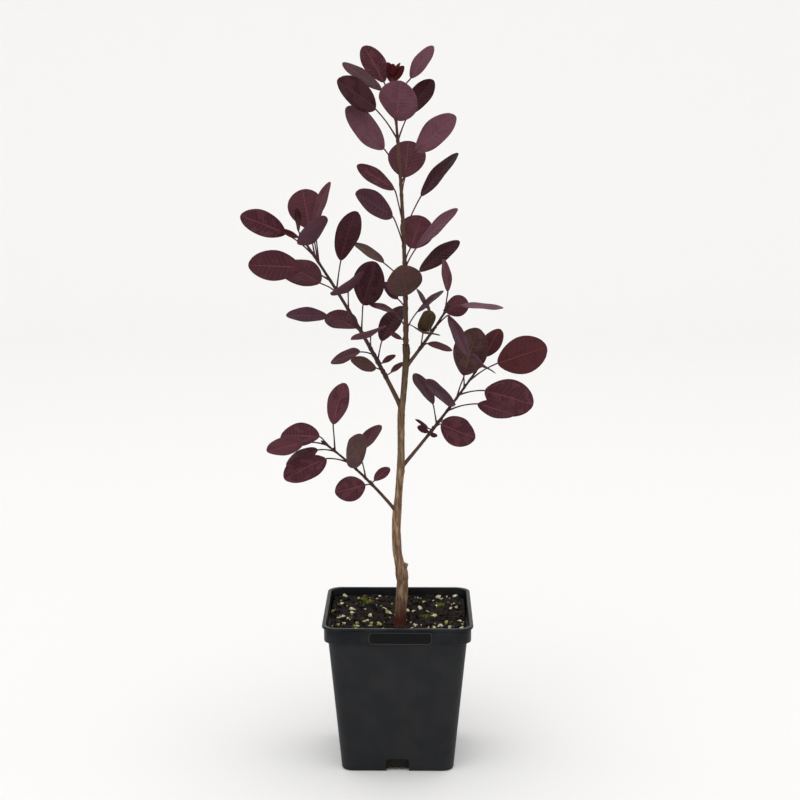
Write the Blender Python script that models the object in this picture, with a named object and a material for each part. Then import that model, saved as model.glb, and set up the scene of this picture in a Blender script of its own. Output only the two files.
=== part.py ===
"""A young purple smoke bush in a square nursery pot.

Metres, +Z up. The origin is the middle of the pot's flat underside, the front is -Y and +X is to the
right as seen from the front. The plant stands in its broad plane, XZ, with two pairs of side shoots and a
leader. Heights are above the underside.

A direction on the plant is given by two angles in degrees: its lean, from +X towards +Z in the broad
plane, and its swing, out of that plane towards the back.
"""

import math
import random
from dataclasses import dataclass

import bmesh
import bpy
from mathutils import Matrix, Vector

MM = 0.001
GAP = 0.3 * MM  # between neighbouring solids

# The pot: a thin moulded shell, square in plan with round corners
POT_HEIGHT = 105 * MM
LIP_WIDTH = 102 * MM
LIP_DEPTH = 1.6 * MM
BAND_WIDTH = 99.3 * MM
BAND_HEIGHT = 11.2 * MM
WALL_TOP_WIDTH = 93.8 * MM
WALL_FOOT_WIDTH = 76.8 * MM
WALL = 1.3 * MM
FLOOR = 1.8 * MM
LIP_CORNER = 10.5 * MM
FOOT_CORNER = 7 * MM
FOOT_ROUND = 1.4 * MM
CORNER_STEPS = 5
DRAIN_WIDTH = 15.5 * MM
DRAIN_HEIGHT = 9 * MM
DRAIN_REACH = 9 * MM  # inwards from the wall's outer face at the foot

# The potting mix, dished towards the trunk
MIX_EDGE = 96.2 * MM
MIX_PAD_RADIUS = 5.6 * MM
MIX_ROUGHNESS = 0.7 * MM

# The trunk, from its cut at the mix up to the collar under this year's wood.
# Each row is height, sideways place, depth and radius, in millimetres.
TRUNK = (
    (92.0, 1.3, 0.0, 4.7),
    (96.0, 1.4, 0.0, 4.1),
    (106.0, 1.9, 0.0, 4.0),
    (117.0, 2.7, 0.2, 4.1),
    (123.0, 3.0, 0.3, 3.9),
    (128.5, 2.6, 0.3, 4.4),
    (133.5, 1.9, 0.2, 3.9),
    (139.0, 0.4, 0.0, 3.3),
    (147.0, -0.8, -0.2, 3.2),
    (160.0, -1.3, -0.3, 3.05),
    (173.0, -0.8, -0.2, 3.0),
    (183.0, 0.1, 0.0, 2.6),
    (196.0, 1.1, 0.2, 2.55),
    (204.0, 1.8, 0.3, 2.7),
    (222.0, 2.0, 0.3, 2.35),
    (243.0, 2.1, 0.2, 2.45),
    (253.0, 3.4, 0.1, 2.05),
    (268.0, 4.6, 0.0, 2.1),
    (281.0, 5.5, 0.0, 2.25),
    (286.0, 5.5, 0.0, 2.45),
    (289.0, 5.3, 0.0, 2.2),
)
TRUNK_SIDES = 10
STUB_HEIGHT = 129 * MM
STUB_LENGTH = 8.5 * MM
STUB_RADIUS = 1.9 * MM
STUB_LEAN = 70

# Leaves
BLADE_THICKNESS = 0.5 * MM
STALK_RADIUS = 0.55 * MM
STALK_SIDES = 3
STALK_ARCH = 0.05  # its middle's rise for each unit of length
STALK_IN_BLADE = 0.2  # share of the blade that the stalk runs into, as its midrib
SHOOT_SIDES = 6
SHOOT_STEP = 9 * MM
BLADE_STATIONS = (0.0, 0.13, 0.34, 0.6, 0.82, 0.95, 1.0)
BLADE_ARCH = (-0.01, 0.03)  # the midrib's rise for each unit of length
BLADE_FOLD = (3, 9)  # how far each half folds up from the midrib
BLADE_TWIST = (-14, 14)  # from foot to tip


@dataclass(frozen=True)
class Leaf:
    """One leaf. A run is (lean, swing, length), the length in millimetres.

    at: how far along the shoot the stalk leaves it, in millimetres.
    stalk, blade: their runs; the blade's goes from its foot to its tip.
    turn: how far the upper face turns from the front to face up, about the blade's own length.
    wide: the blade's width for each unit of its length.
    """

    at: float
    stalk: tuple
    blade: tuple
    turn: float = 40
    wide: float = 0.62


@dataclass(frozen=True)
class Shoot:
    """A shoot: one stem that bends evenly, and its leaves.

    root: where its axis starts, in millimetres; lean and swing: at the root and at the tip.
    length, thick: its length, and its diameter at the root and the tip, in millimetres.
    bare: how much of it, from the root, is the leafless bough below the leafy mass, in millimetres.
    """

    name: str
    root: tuple
    lean: tuple
    swing: tuple
    length: float
    thick: tuple
    bare: float
    leaves: tuple


LOWER_LEFT = Shoot(
    name="lower_left",
    root=(-1.0, -0.2, 173),
    lean=(125, 139),
    swing=(-20, -20),
    length=78,
    thick=(2.4, 1.3),
    bare=20,
    leaves=(
        Leaf(30, (47, -10, 3), (37, 20, 14), 40, 0.60),
        Leaf(29, (172, -40, 6), (185, -40, 26), 15, 0.66),
        Leaf(36, (98, -45, 20), (112, -45, 30), 45, 0.78),
        Leaf(46, (90, 25, 11), (47, 20, 26), 60, 0.58),
        Leaf(54, (164, -28, 17), (206, -22, 32), 50, 0.70),
        Leaf(67, (179, 15, 12), (211, 15, 31), 60, 0.60),
        Leaf(67, (94, 10, 18), (74, 10, 29), 35, 0.60),
        Leaf(72, (137, 20, 10), (184, 25, 30), 45, 0.66),
        Leaf(75, (170, -25, 17), (189, -25, 26), 50, 0.60),
    ),
)
UPPER_LEFT = Shoot(
    name="upper_left",
    root=(2.2, 0.2, 246),
    lean=(117, 126),
    swing=(15, 15),
    length=139,
    thick=(3.2, 1.6),
    bare=22,
    leaves=(
        Leaf(24, (34, 30, 5), (37, 30, 12), 55, 0.50),
        Leaf(28, (149, -25, 6), (158, -35, 22), 50, 0.54),
        Leaf(35, (350, 20, 3), (29, 20, 11), 50, 0.50),
        Leaf(36, (78, 10, 14), (58, 35, 32), 45, 0.56),
        Leaf(41, (174, 35, 12), (203, 30, 26), 65, 0.58),
        Leaf(46, (89, -40, 12), (96, -76, 34), 195, 0.76),
        Leaf(57, (141, 40, 8), (160, 40, 29), 50, 0.68),
        Leaf(59, (87, 15, 19), (73, -20, 34), 25, 0.72),
        Leaf(62, (156, -15, 24), (178, -15, 29), 60, 0.56),
        Leaf(77, (89, -35, 16), (78, -70, 36), 135, 0.76),
        Leaf(90, (154, 35, 18), (155, 30, 34), 45, 0.74),
        Leaf(93, (81, -15, 22), (73, 15, 36), 35, 0.56),
        Leaf(101, (153, -20, 23), (176, -15, 37), 30),
        Leaf(116, (96, -5, 27), (69, 5, 31), 55, 0.42),
        Leaf(118, (94, -45, 19), (90, -62, 35), 220, 0.76),
        Leaf(121, (103, 25, 21), (102, 35, 33), 5, 0.76),
        Leaf(122, (141, -10, 25), (157, -15, 34), 30, 0.56),
        Leaf(136, (146, -50, 5), (156, -38, 16), 60, 0.45),
        Leaf(138, (110, -45, 6), (94, -30, 19), 65, 0.45),
    ),
)
LOWER_RIGHT = Shoot(
    name="lower_right",
    root=(1.9, 0.3, 204),
    lean=(48, 54),
    swing=(15, 15),
    length=85,
    thick=(2.6, 1.4),
    bare=28,
    leaves=(
        Leaf(31, (114, -30, 2), (154, -30, 10), 45, 0.60),
        Leaf(31, (291, -40, 1), (358, -30, 6), 10, 0.55),
        Leaf(34, (156, 0, 3), (145, 0, 11), 60, 0.35),
        Leaf(36, (32, -20, 6), (342, -30, 27), 0, 0.62),
        Leaf(39, (101, 30, 15), (123, 30, 27), 60, 0.60),
        Leaf(42, (338, 10, 2), (345, 20, 27), 35, 0.50),
        Leaf(51, (19, -30, 25), (346, -20, 35), 50, 0.60),
        Leaf(54, (40, -40, 6), (140, -35, 34), 70, 0.56),
        Leaf(62, (70, 25, 17), (92, 20, 24), 0, 0.50),
        Leaf(65, (11, -10, 18), (348, -10, 35), 25, 0.70),
        Leaf(71, (92, -20, 10), (74, 0, 34), 15, 0.72),
        Leaf(77, (29, 20, 24), (17, 10, 37), 0, 0.72),
        Leaf(84, (54, -55, 12), (90, -78, 30), 140, 0.70),
        Leaf(84.5, (53, 30, 14), (61, 25, 23), 35, 0.66),
    ),
)
UPPER_RIGHT = Shoot(
    name="upper_right",
    root=(5.2, 0.0, 274),
    lean=(54, 60),
    swing=(-20, -20),
    length=55,
    thick=(2.6, 1.4),
    bare=16,
    leaves=(
        Leaf(18, (36, -10, 6), (343, 10, 18), 60, 0.45),
        Leaf(19, (83, -40, 14), (100, -80, 32), 150, 0.74),
        Leaf(32, (93, 30, 15), (120, 30, 20), 75, 0.50),
        Leaf(34, (171, -50, 5), (100, -50, 24), 30, 0.62),
        Leaf(36, (46, -30, 16), (295, -25, 31), 60, 0.50),
        Leaf(50, (96, 20, 2), (12, 40, 22), 5, 0.66),
        Leaf(51, (83, -10, 14), (99, 0, 22), 55, 0.50),
        Leaf(54, (9, 10, 9), (356, 15, 30), 80, 0.50),
    ),
)
LEADER = Shoot(
    name="leader",
    root=(5.25, 0.0, 289.3),
    lean=(90, 96),
    swing=(0, 0),
    length=179,
    thick=(3.5, 1.4),
    bare=0,
    leaves=(
        Leaf(3, (160, -10, 3), (151, 0, 9), 45, 0.50),
        Leaf(10, (60, -20, 16), (40, -15, 24), 75, 0.50),
        Leaf(12, (129, 20, 13), (163, 20, 20), 70, 0.50),
        Leaf(25, (128, -20, 9), (129, -20, 16), 35, 0.50),
        Leaf(32, (67, -55, 4), (99, -50, 36), 10, 0.68),
        Leaf(37, (53, 10, 16), (37, 5, 34), 55, 0.50),
        Leaf(41, (137, 30, 23), (148, 20, 26), 65, 0.50),
        Leaf(52, (61, -10, 16), (44, -10, 39), 65, 0.42),
        Leaf(56, (67, 35, 12), (69, 35, 27), 0, 0.88),
        Leaf(67, (110, -25, 24), (147, -25, 32), 50, 0.66),
        Leaf(75, (65, 10, 28), (49, 0, 38), 60, 0.45),
        Leaf(82, (104, -10, 24), (147, -10, 30), 50, 0.50),
        Leaf(101, (79, 40, 15), (84, 45, 34), 5, 0.76),
        Leaf(108, (66, -20, 26), (41, -15, 36), 40, 0.60),
        Leaf(114, (121, -10, 21), (133, -15, 38), 50, 0.66),
        Leaf(136, (92, -40, 19), (84, -45, 36), 15, 0.74),
        Leaf(137, (68, 10, 19), (55, 15, 29), 35, 0.60),
        Leaf(138, (126, -20, 26), (143, -25, 34), 35, 0.62),
        Leaf(149, (116, 30, 27), (144, 15, 33), 65, 0.60),
        Leaf(160, (115, 20, 18), (120, 10, 28), 30, 0.62),
        Leaf(164, (52, 10, 18), (55, 5, 26), 45, 0.55),
        Leaf(173, (112, 0, 2), (54, -10, 14), 30, 0.45),
        Leaf(174, (132, 0, 2), (98, 10, 10), 0, 0.45),
    ),
)
SHOOTS = (LOWER_LEFT, UPPER_LEFT, LOWER_RIGHT, UPPER_RIGHT, LEADER)


def heading(lean, swing):
    """The unit vector of a direction on the plant."""
    lean, swing = math.radians(lean), math.radians(swing)
    return Vector((math.cos(swing) * math.cos(lean), math.sin(swing), math.cos(swing) * math.sin(lean)))


def shoot_point(shoot, along):
    """(place, direction) of the shoot's axis at a distance along it, in metres."""
    share = along / (shoot.length * MM)
    steps = 24
    place = Vector(shoot.root) * MM
    for i in range(steps):
        middle = share * (i + 0.5) / steps
        lean = shoot.lean[0] + (shoot.lean[1] - shoot.lean[0]) * middle
        swing = shoot.swing[0] + (shoot.swing[1] - shoot.swing[0]) * middle
        place += heading(lean, swing) * along / steps
    lean = shoot.lean[0] + (shoot.lean[1] - shoot.lean[0]) * share
    swing = shoot.swing[0] + (shoot.swing[1] - shoot.swing[0]) * share
    return place, heading(lean, swing)


def shoot_radius(shoot, along):
    """The stem's radius at a distance along it, in metres."""
    share = min(along / (shoot.length * MM), 1)
    return (shoot.thick[0] + (shoot.thick[1] - shoot.thick[0]) * share) * MM / 2


def blade_frame(leaf):
    """(length direction, width direction, upper normal) of a leaf's blade."""
    along = heading(*leaf.blade[:2])
    front = Vector((0, -1, 0))
    front = (front - along * front.dot(along)).normalized()
    up = along.cross(front)
    if up.z + 0.1 * up.x < 0:
        up = -up
    turn = math.radians(leaf.turn)
    normal = front * math.cos(turn) + up * math.sin(turn)
    return along, normal.cross(along).normalized(), normal


def half_width(u):
    """An egg-shaped blade's half-width at a share u of its length: a wedge foot and a round tip."""
    return 0.5 * math.sin(math.pi * u**1.22) ** (0.82 - 0.32 * u) if 0 < u < 1 else 0.0


def blade_point(leaf, foot, habit, u, side):
    """A point of the blade's middle surface: u runs from its foot to its tip, side from -1 to 1.

    habit is (arch, fold, twist): the midrib's rise for each unit of length, and two angles in radians.
    """
    along, across, normal = blade_frame(leaf)
    arch, fold, twist = habit
    length = leaf.blade[2] * MM
    turned = twist * (u - 0.5)
    across, normal = (
        across * math.cos(turned) + normal * math.sin(turned),
        normal * math.cos(turned) - across * math.sin(turned),
    )
    reach = half_width(u) * leaf.wide * length
    rise = 4 * u * (1 - u) * arch * length + abs(side) * reach * math.sin(fold)
    return foot + along * u * length + across * side * reach * math.cos(fold) + normal * rise, normal


def leaf_habit(shoot, index):
    """(arch, fold, twist) of a leaf: each has its own, from its place on the shoot."""
    draw = random.Random(f"{shoot.name} {index}")
    fold = math.radians(draw.uniform(*BLADE_FOLD))
    return draw.uniform(*BLADE_ARCH), fold, math.radians(draw.uniform(*BLADE_TWIST))


def leaf_foot(shoot, leaf):
    """(start of the stalk, foot of the blade)."""
    start = shoot_point(shoot, leaf.at * MM)[0]
    return start, start + heading(*leaf.stalk[:2]) * leaf.stalk[2] * MM


def square_ring(half, corner, height, centre=0.0):
    """A square with round corners, anticlockwise from above; half is half its width."""
    points = []
    for quarter, (x, y) in enumerate(((1, 1), (-1, 1), (-1, -1), (1, -1))):
        for step in range(CORNER_STEPS + 1):
            angle = math.pi / 2 * (quarter + step / CORNER_STEPS)
            points.append(
                Vector(
                    (
                        centre + x * (half - corner) + corner * math.cos(angle),
                        y * (half - corner) + corner * math.sin(angle),
                        height,
                    )
                )
            )
    return points


def ring_about(place, direction, radius, sides):
    """A ring of points about a place, square to a direction."""
    across = direction.cross(Vector((0, 1, 0))).normalized()
    over = across.cross(direction)
    turns = [2 * math.pi * i / sides for i in range(sides)]
    return [place + (across * math.cos(a) + over * math.sin(a)) * radius for a in turns]


def finish_material(name, colour, roughness):
    """A plain material; colour is sRGB hex."""
    material = bpy.data.materials.new(name)
    material.use_nodes = True
    shader = material.node_tree.nodes["Principled BSDF"]
    channels = [int(colour[i : i + 2], 16) / 255 for i in (1, 3, 5)]
    linear = [c / 12.92 if c <= 0.04045 else ((c + 0.055) / 1.055) ** 2.4 for c in channels]
    shader.inputs["Base Color"].default_value = (*linear, 1)
    shader.inputs["Roughness"].default_value = roughness
    return material


def new_piece(name, mesh_maker, material=None):
    """An object in the scene from a closed bmesh, with its faces turned outwards."""
    bmesh.ops.recalc_face_normals(mesh_maker, faces=mesh_maker.faces)
    mesh = bpy.data.meshes.new(name)
    mesh_maker.to_mesh(mesh)
    mesh_maker.free()
    piece = bpy.data.objects.new(name, mesh)
    bpy.context.scene.collection.objects.link(piece)
    if material:
        mesh.materials.append(material)
    return piece


def lofted(name, rings, material=None):
    """A solid through rings of equally many points, with a flat cap at each end."""
    maker = bmesh.new()
    loops = [[maker.verts.new(point) for point in ring] for ring in rings]
    for low, high in zip(loops, loops[1:]):
        for i, j in zip(range(len(low)), [*range(1, len(low)), 0]):
            maker.faces.new((low[i], low[j], high[j], high[i]))
    maker.faces.new(loops[0])
    maker.faces.new(loops[-1])
    return new_piece(name, maker, material)


def boolean(piece, operation, other):
    """Adds an exact Boolean with an object or a collection."""
    modifier = piece.modifiers.new(operation.lower(), "BOOLEAN")
    modifier.operation = operation
    modifier.solver = "EXACT"
    if isinstance(other, bpy.types.Collection):
        modifier.operand_type = "COLLECTION"
        modifier.collection = other
    else:
        modifier.object = other
    return modifier


def hidden(cutter):
    """Marks an object as a cutter, which is no part of the plant."""
    cutter.hide_render = True
    cutter.display_type = "WIRE"
    return cutter


def fused(name, pieces, material):
    """One closed body: the first piece with the others joined to it."""
    base, *rest = pieces
    base.name = base.data.name = name
    group = bpy.data.collections.new(name)
    bpy.context.scene.collection.children.link(group)
    for piece in rest:
        bpy.context.scene.collection.objects.unlink(piece)
        group.objects.link(piece)
    modifier = boolean(base, "UNION", group)
    with bpy.context.temp_override(object=base, active_object=base, selected_objects=[base]):
        bpy.ops.object.modifier_apply(modifier=modifier.name)
    for piece in rest:
        bpy.data.objects.remove(piece)
    bpy.data.collections.remove(group)
    base.data.materials.clear()
    base.data.materials.append(material)
    return base


def make_pot(material):
    """The pot's shell, with a drain slot in the foot of each side."""
    foot, top, band, lip = (width / 2 for width in (WALL_FOOT_WIDTH, WALL_TOP_WIDTH, BAND_WIDTH, LIP_WIDTH))
    shoulder = POT_HEIGHT - BAND_HEIGHT
    ledge = POT_HEIGHT - LIP_DEPTH
    outside = (
        (foot - FOOT_ROUND, FOOT_CORNER - FOOT_ROUND, 0.0),
        (foot - FOOT_ROUND * 0.3, FOOT_CORNER - FOOT_ROUND * 0.3, FOOT_ROUND * 0.35),
        (foot, FOOT_CORNER, FOOT_ROUND),
        (top, LIP_CORNER - 1.5 * MM, shoulder - 0.8 * MM),
        (band - 0.6 * MM, LIP_CORNER - 1.0 * MM, shoulder - 0.2 * MM),
        (band, LIP_CORNER - 0.6 * MM, shoulder + 0.6 * MM),
        (band, LIP_CORNER - 0.6 * MM, ledge - 0.6 * MM),
        (lip, LIP_CORNER, ledge),
        (lip, LIP_CORNER, POT_HEIGHT - 0.4 * MM),
        (lip - 0.4 * MM, LIP_CORNER - 0.4 * MM, POT_HEIGHT),
    )
    bore = band - WALL
    inside = (
        (bore + 0.5 * MM, LIP_CORNER - 1.4 * MM, POT_HEIGHT),
        (bore, LIP_CORNER - 1.8 * MM, POT_HEIGHT - 0.8 * MM),
        (bore - 0.2 * MM, LIP_CORNER - 1.8 * MM, shoulder + WALL),
        (top - WALL, LIP_CORNER - 2.8 * MM, shoulder - 0.2 * MM),
        (foot - WALL + FLOOR * 0.09, FOOT_CORNER - WALL + FLOOR * 0.1, FLOOR),
    )
    pot = lofted("pot", [square_ring(*row) for row in outside + inside], material)
    maker = bmesh.new()
    outer, inner = foot + 2 * MM, foot - DRAIN_REACH
    for quarter in range(4):
        turn = Matrix.Rotation(math.pi / 2 * quarter, 4, "Z")
        slot = bmesh.ops.create_cube(maker, size=1)["verts"]
        bmesh.ops.scale(maker, vec=(outer - inner, DRAIN_WIDTH, DRAIN_HEIGHT + MM), verts=slot)
        bmesh.ops.translate(maker, vec=((outer + inner) / 2, 0, (DRAIN_HEIGHT - MM) / 2), verts=slot)
        bmesh.ops.transform(maker, matrix=turn, verts=slot)
    boolean(pot, "DIFFERENCE", hidden(new_piece("drain_slots", maker)))
    return pot


def make_mix(material):
    """The potting mix: it fills the pot 0.3 mm clear of it, and sinks towards the trunk's foot."""
    draw = random.Random("potting mix")
    foot = WALL_FOOT_WIDTH / 2 - WALL - GAP
    neck = WALL_TOP_WIDTH / 2 - WALL - 1.5 * GAP
    edge = BAND_WIDTH / 2 - WALL - 2 * GAP
    shoulder = POT_HEIGHT - BAND_HEIGHT
    corner = LIP_CORNER - 3.2 * MM
    rings = [
        square_ring(foot, FOOT_CORNER - WALL - GAP, FLOOR + GAP),
        square_ring(neck, corner, shoulder - 0.3 * MM),
        square_ring(edge, corner + 0.8 * MM, MIX_EDGE - 0.5 * MM),
        square_ring(edge - 0.4 * MM, corner + 0.4 * MM, MIX_EDGE),
    ]
    trunk_height, trunk_x = TRUNK[0][0] * MM, TRUNK[0][1] * MM
    pad = trunk_height - GAP
    for share in (0.9, 0.73, 0.54, 0.36, 0.2):
        half = edge * share
        height = pad + (MIX_EDGE - pad) * share**0.8
        rounded = min(corner + (1 - share) * 20 * MM, half * 0.9)
        ring = square_ring(half, rounded, height, trunk_x * (1 - share))
        for point in ring:
            point.z += draw.uniform(-1, 1) * MIX_ROUGHNESS * share
        rings.append(ring)
    rings.append(square_ring(MIX_PAD_RADIUS, MIX_PAD_RADIUS * 0.98, pad, trunk_x))
    return lofted("potting_mix", rings, material)


def trunk_rings(grown=0.0):
    """The rings of the trunk, or of the space that is kept clear round it."""
    up = Vector((0, 0, 1))
    rings = []
    for height, x, y, radius in TRUNK:
        place = Vector((x, y, height)) * MM
        rings.append(ring_about(place, up, radius * MM + grown, TRUNK_SIDES))
    return rings


def make_trunk(material):
    """The trunk, with the stub of a pruned shoot low on its right."""
    trunk = lofted("trunk", trunk_rings(), material)
    height, x, y, _ = min(TRUNK, key=lambda row: abs(row[0] * MM - STUB_HEIGHT))
    start, direction = Vector((x, y, height)) * MM, heading(STUB_LEAN, 0)
    ends = ((0, 1.15), (0.85, 0.95), (1, 0.7))
    rings = [
        ring_about(start + direction * STUB_LENGTH * s, direction, STUB_RADIUS * grow, 8) for s, grow in ends
    ]
    return fused("trunk", [trunk, lofted("stub", rings)], material)


def stem_rings(shoot, first, last):
    """The rings of a shoot's stem from one distance along it to another."""
    steps = max(2, math.ceil((last - first) / SHOOT_STEP))
    rings = []
    for i in range(steps + 1):
        along = first + (last - first) * i / steps
        rings.append(ring_about(*shoot_point(shoot, along), shoot_radius(shoot, along), SHOOT_SIDES))
    return rings


def make_bough(shoot, clearance, material):
    """The leafless start of a side shoot, cut clear of the trunk."""
    bough = lofted(f"{shoot.name}_bough", stem_rings(shoot, 0, shoot.bare * MM), material)
    boolean(bough, "DIFFERENCE", clearance)
    return bough


def make_stalk(shoot, index, leaf):
    """A leaf's stalk: out of the stem's axis, a little arched, and on into the blade as its midrib."""
    start, foot = leaf_foot(shoot, leaf)
    end = blade_point(leaf, foot, leaf_habit(shoot, index), STALK_IN_BLADE, 0)[0]
    middle = (start + foot) / 2 + Vector((0, 0, STALK_ARCH * (foot - start).length))
    places = (start, middle, foot, end)
    ways = (middle - start, foot - start, end - middle, end - foot)
    sizes = (1.1, 0.9, 1, 0.8)
    rings = [
        ring_about(place, way.normalized(), STALK_RADIUS * size, STALK_SIDES)
        for place, way, size in zip(places, ways, sizes)
    ]
    return lofted("stalk", rings)


def make_blade(shoot, index, leaf):
    """A leaf's blade: one thin closed solid."""
    foot = leaf_foot(shoot, leaf)[1]
    habit = leaf_habit(shoot, index)
    maker = bmesh.new()
    rims = []
    for offset in (BLADE_THICKNESS / 2, -BLADE_THICKNESS / 2):
        rows = []
        for u in BLADE_STATIONS:
            points = []
            for side in (0,) if u in (0, 1) else (-1, 0, 1):
                point, normal = blade_point(leaf, foot, habit, u, side)
                points.append(maker.verts.new(point + normal * offset))
            rows.append(points if len(points) == 3 else points * 3)
        for low, high in zip(rows, rows[1:]):
            for i in (0, 1):
                maker.faces.new(dict.fromkeys((low[i], low[i + 1], high[i + 1], high[i])))
        rims.append(list(dict.fromkeys([row[0] for row in rows] + [row[2] for row in reversed(rows)])))
    upper, lower = rims
    for i in range(len(upper)):
        maker.faces.new((upper[i - 1], upper[i], lower[i], lower[i - 1]))
    return new_piece("blade", maker)


def make_mass(shoot, material):
    """The leafy part of a shoot: stem, stalks and blades as one closed body, clear of what bears it."""
    first = shoot.bare * MM + (GAP if shoot.bare else 0)
    pieces = [lofted("stem", stem_rings(shoot, first, shoot.length * MM))]
    for index, leaf in enumerate(shoot.leaves):
        pieces += [make_stalk(shoot, index, leaf), make_blade(shoot, index, leaf)]
    return fused(f"{shoot.name}_leaves", pieces, material)


def main():
    """Builds every node of the plant."""
    for thing in list(bpy.data.objects):
        bpy.data.objects.remove(thing)
    make_pot(finish_material("black_plastic", "#2b2c2e", 0.45))
    make_mix(finish_material("potting_mix", "#2c241c", 0.95))
    bark = finish_material("bark", "#6f5a44", 0.8)
    make_trunk(bark)
    clearance = hidden(lofted("trunk_clearance", trunk_rings(GAP)))
    young_bark = finish_material("young_bark", "#4a302c", 0.6)
    foliage = finish_material("purple_leaf", "#46262f", 0.5)
    for shoot in SHOOTS:
        if shoot.bare:
            make_bough(shoot, clearance, young_bark.copy())
        make_mass(shoot, foliage.copy())


if __name__ == "__main__":
    main()
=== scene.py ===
"""A young purple-leaved smoke bush in a square black pot, set up as a studio photograph.

The plant grows by the rule and the rows of its CAD source, with finer leaves, stems and bark
in the same places.
Lengths are in metres unless a name or a comment says millimetres, and stated angles are in degrees.
"""

import logging
import math
import random
from collections.abc import Callable, Sequence
from dataclasses import dataclass, field
from enum import Enum

import bmesh
import bpy
from bpy.types import Material, Node, NodeSocket, NodeTree, Object
from mathutils import Matrix, Vector, noise

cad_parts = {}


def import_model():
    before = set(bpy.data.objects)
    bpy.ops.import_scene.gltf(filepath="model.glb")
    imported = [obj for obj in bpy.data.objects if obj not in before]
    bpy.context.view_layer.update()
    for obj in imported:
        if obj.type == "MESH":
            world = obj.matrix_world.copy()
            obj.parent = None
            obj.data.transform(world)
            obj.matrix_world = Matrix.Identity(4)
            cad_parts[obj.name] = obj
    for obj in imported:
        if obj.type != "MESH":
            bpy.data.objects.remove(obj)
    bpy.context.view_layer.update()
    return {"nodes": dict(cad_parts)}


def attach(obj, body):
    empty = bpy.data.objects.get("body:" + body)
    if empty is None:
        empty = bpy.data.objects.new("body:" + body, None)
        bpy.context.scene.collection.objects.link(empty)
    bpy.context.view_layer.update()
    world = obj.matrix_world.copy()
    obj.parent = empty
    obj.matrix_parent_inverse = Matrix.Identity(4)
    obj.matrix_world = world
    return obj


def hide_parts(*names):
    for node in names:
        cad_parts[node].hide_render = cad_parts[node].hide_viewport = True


MM = 0.001
LOG = logging.getLogger("smoke_bush")

# (height, x, y, radius) of the trunk in millimetres, from the mix to the top of its collar.
TRUNK = (
    (92.0, 1.3, 0.0, 4.7),
    (96.0, 1.4, 0.0, 4.1),
    (106.0, 1.9, 0.0, 4.0),
    (117.0, 2.7, 0.2, 4.1),
    (123.0, 3.0, 0.3, 3.9),
    (128.5, 2.6, 0.3, 4.4),
    (133.5, 1.9, 0.2, 3.9),
    (139.0, 0.4, 0.0, 3.3),
    (147.0, -0.8, -0.2, 3.2),
    (160.0, -1.3, -0.3, 3.05),
    (173.0, -0.8, -0.2, 3.0),
    (183.0, 0.1, 0.0, 2.6),
    (196.0, 1.1, 0.2, 2.55),
    (204.0, 1.8, 0.3, 2.7),
    (222.0, 2.0, 0.3, 2.35),
    (243.0, 2.1, 0.2, 2.45),
    (253.0, 3.4, 0.1, 2.05),
    (268.0, 4.6, 0.0, 2.1),
    (281.0, 5.5, 0.0, 2.25),
    (286.0, 5.5, 0.0, 2.45),
    (289.0, 5.3, 0.0, 2.2),
)
TRUNK_FOOT, TRUNK_FOOT_X = TRUNK[0][:2]


def linear(colour: str) -> tuple[float, ...]:
    """The linear colour, with full opacity, of an sRGB hex value."""
    parts = [int(colour[i : i + 2], 16) / 255 for i in (1, 3, 5)]
    return (*(p / 12.92 if p <= 0.04045 else ((p + 0.055) / 1.055) ** 2.4 for p in parts), 1.0)


def add_node(tree: NodeTree, kind: str, settings: dict | None = None, links: dict | None = None) -> Node:
    """Adds a node with its settings and the links into it.

    Args:
        tree: the material's node tree.
        kind: the node's type.
        settings: values by the node's property, or by its input's name or number.
        links: sockets by the input's name or number.

    Returns:
        The node.
    """
    node = tree.nodes.new(kind)
    for key, value in (settings or {}).items():
        if isinstance(key, str) and hasattr(node, key):
            setattr(node, key, value)
        else:
            node.inputs[key].default_value = value
    for key, socket in (links or {}).items():
        tree.links.new(socket, node.inputs[key])
    return node


@dataclass(frozen=True)
class Finish:
    """A finish of one plain colour."""

    name: str
    colour: str
    roughness: float
    specular: float = 0.25

    def material(self) -> Material:
        """The finish's material, made when it is first asked for.

        Returns:
            The material.
        """
        made = bpy.data.materials.get(self.name)
        if made is None:
            made = bpy.data.materials.new(self.name)
            made.use_nodes = True
            made.diffuse_color = linear(self.colour)
            tree = made.node_tree
            tree.nodes.clear()
            settings = {
                "Base Color": linear(self.colour),
                "Roughness": self.roughness,
                "Specular IOR Level": self.specular,
            }
            shader = add_node(tree, "ShaderNodeBsdfPrincipled", settings)
            add_node(tree, "ShaderNodeOutputMaterial", links={"Surface": shader.outputs[0]})
            self.add_pattern(tree, shader)
        return made

    def add_pattern(self, tree: NodeTree, shader: Node) -> None:
        """A plain finish has no pattern."""


@dataclass(frozen=True)
class Patches:
    """Soft random patches: 0 between them and 1 on them."""

    size: float
    span: tuple[float, float]  # the raw noise that becomes 0 and the raw noise that becomes 1
    layers: float  # of finer noise

    def lay(self, tree: NodeTree, place: NodeSocket) -> NodeSocket:
        """Lays the patches at some coordinates.

        Args:
            tree: the material's node tree.
            place: the coordinates.

        Returns:
            A socket that runs from 0 to 1.
        """
        settings = {"Scale": 1 / self.size, "Detail": self.layers}
        raw = add_node(tree, "ShaderNodeTexNoise", settings, {"Vector": place})
        ends = {"From Min": self.span[0], "From Max": self.span[1]}
        return add_node(tree, "ShaderNodeMapRange", ends, {"Value": raw.outputs[0]}).outputs[0]


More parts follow.
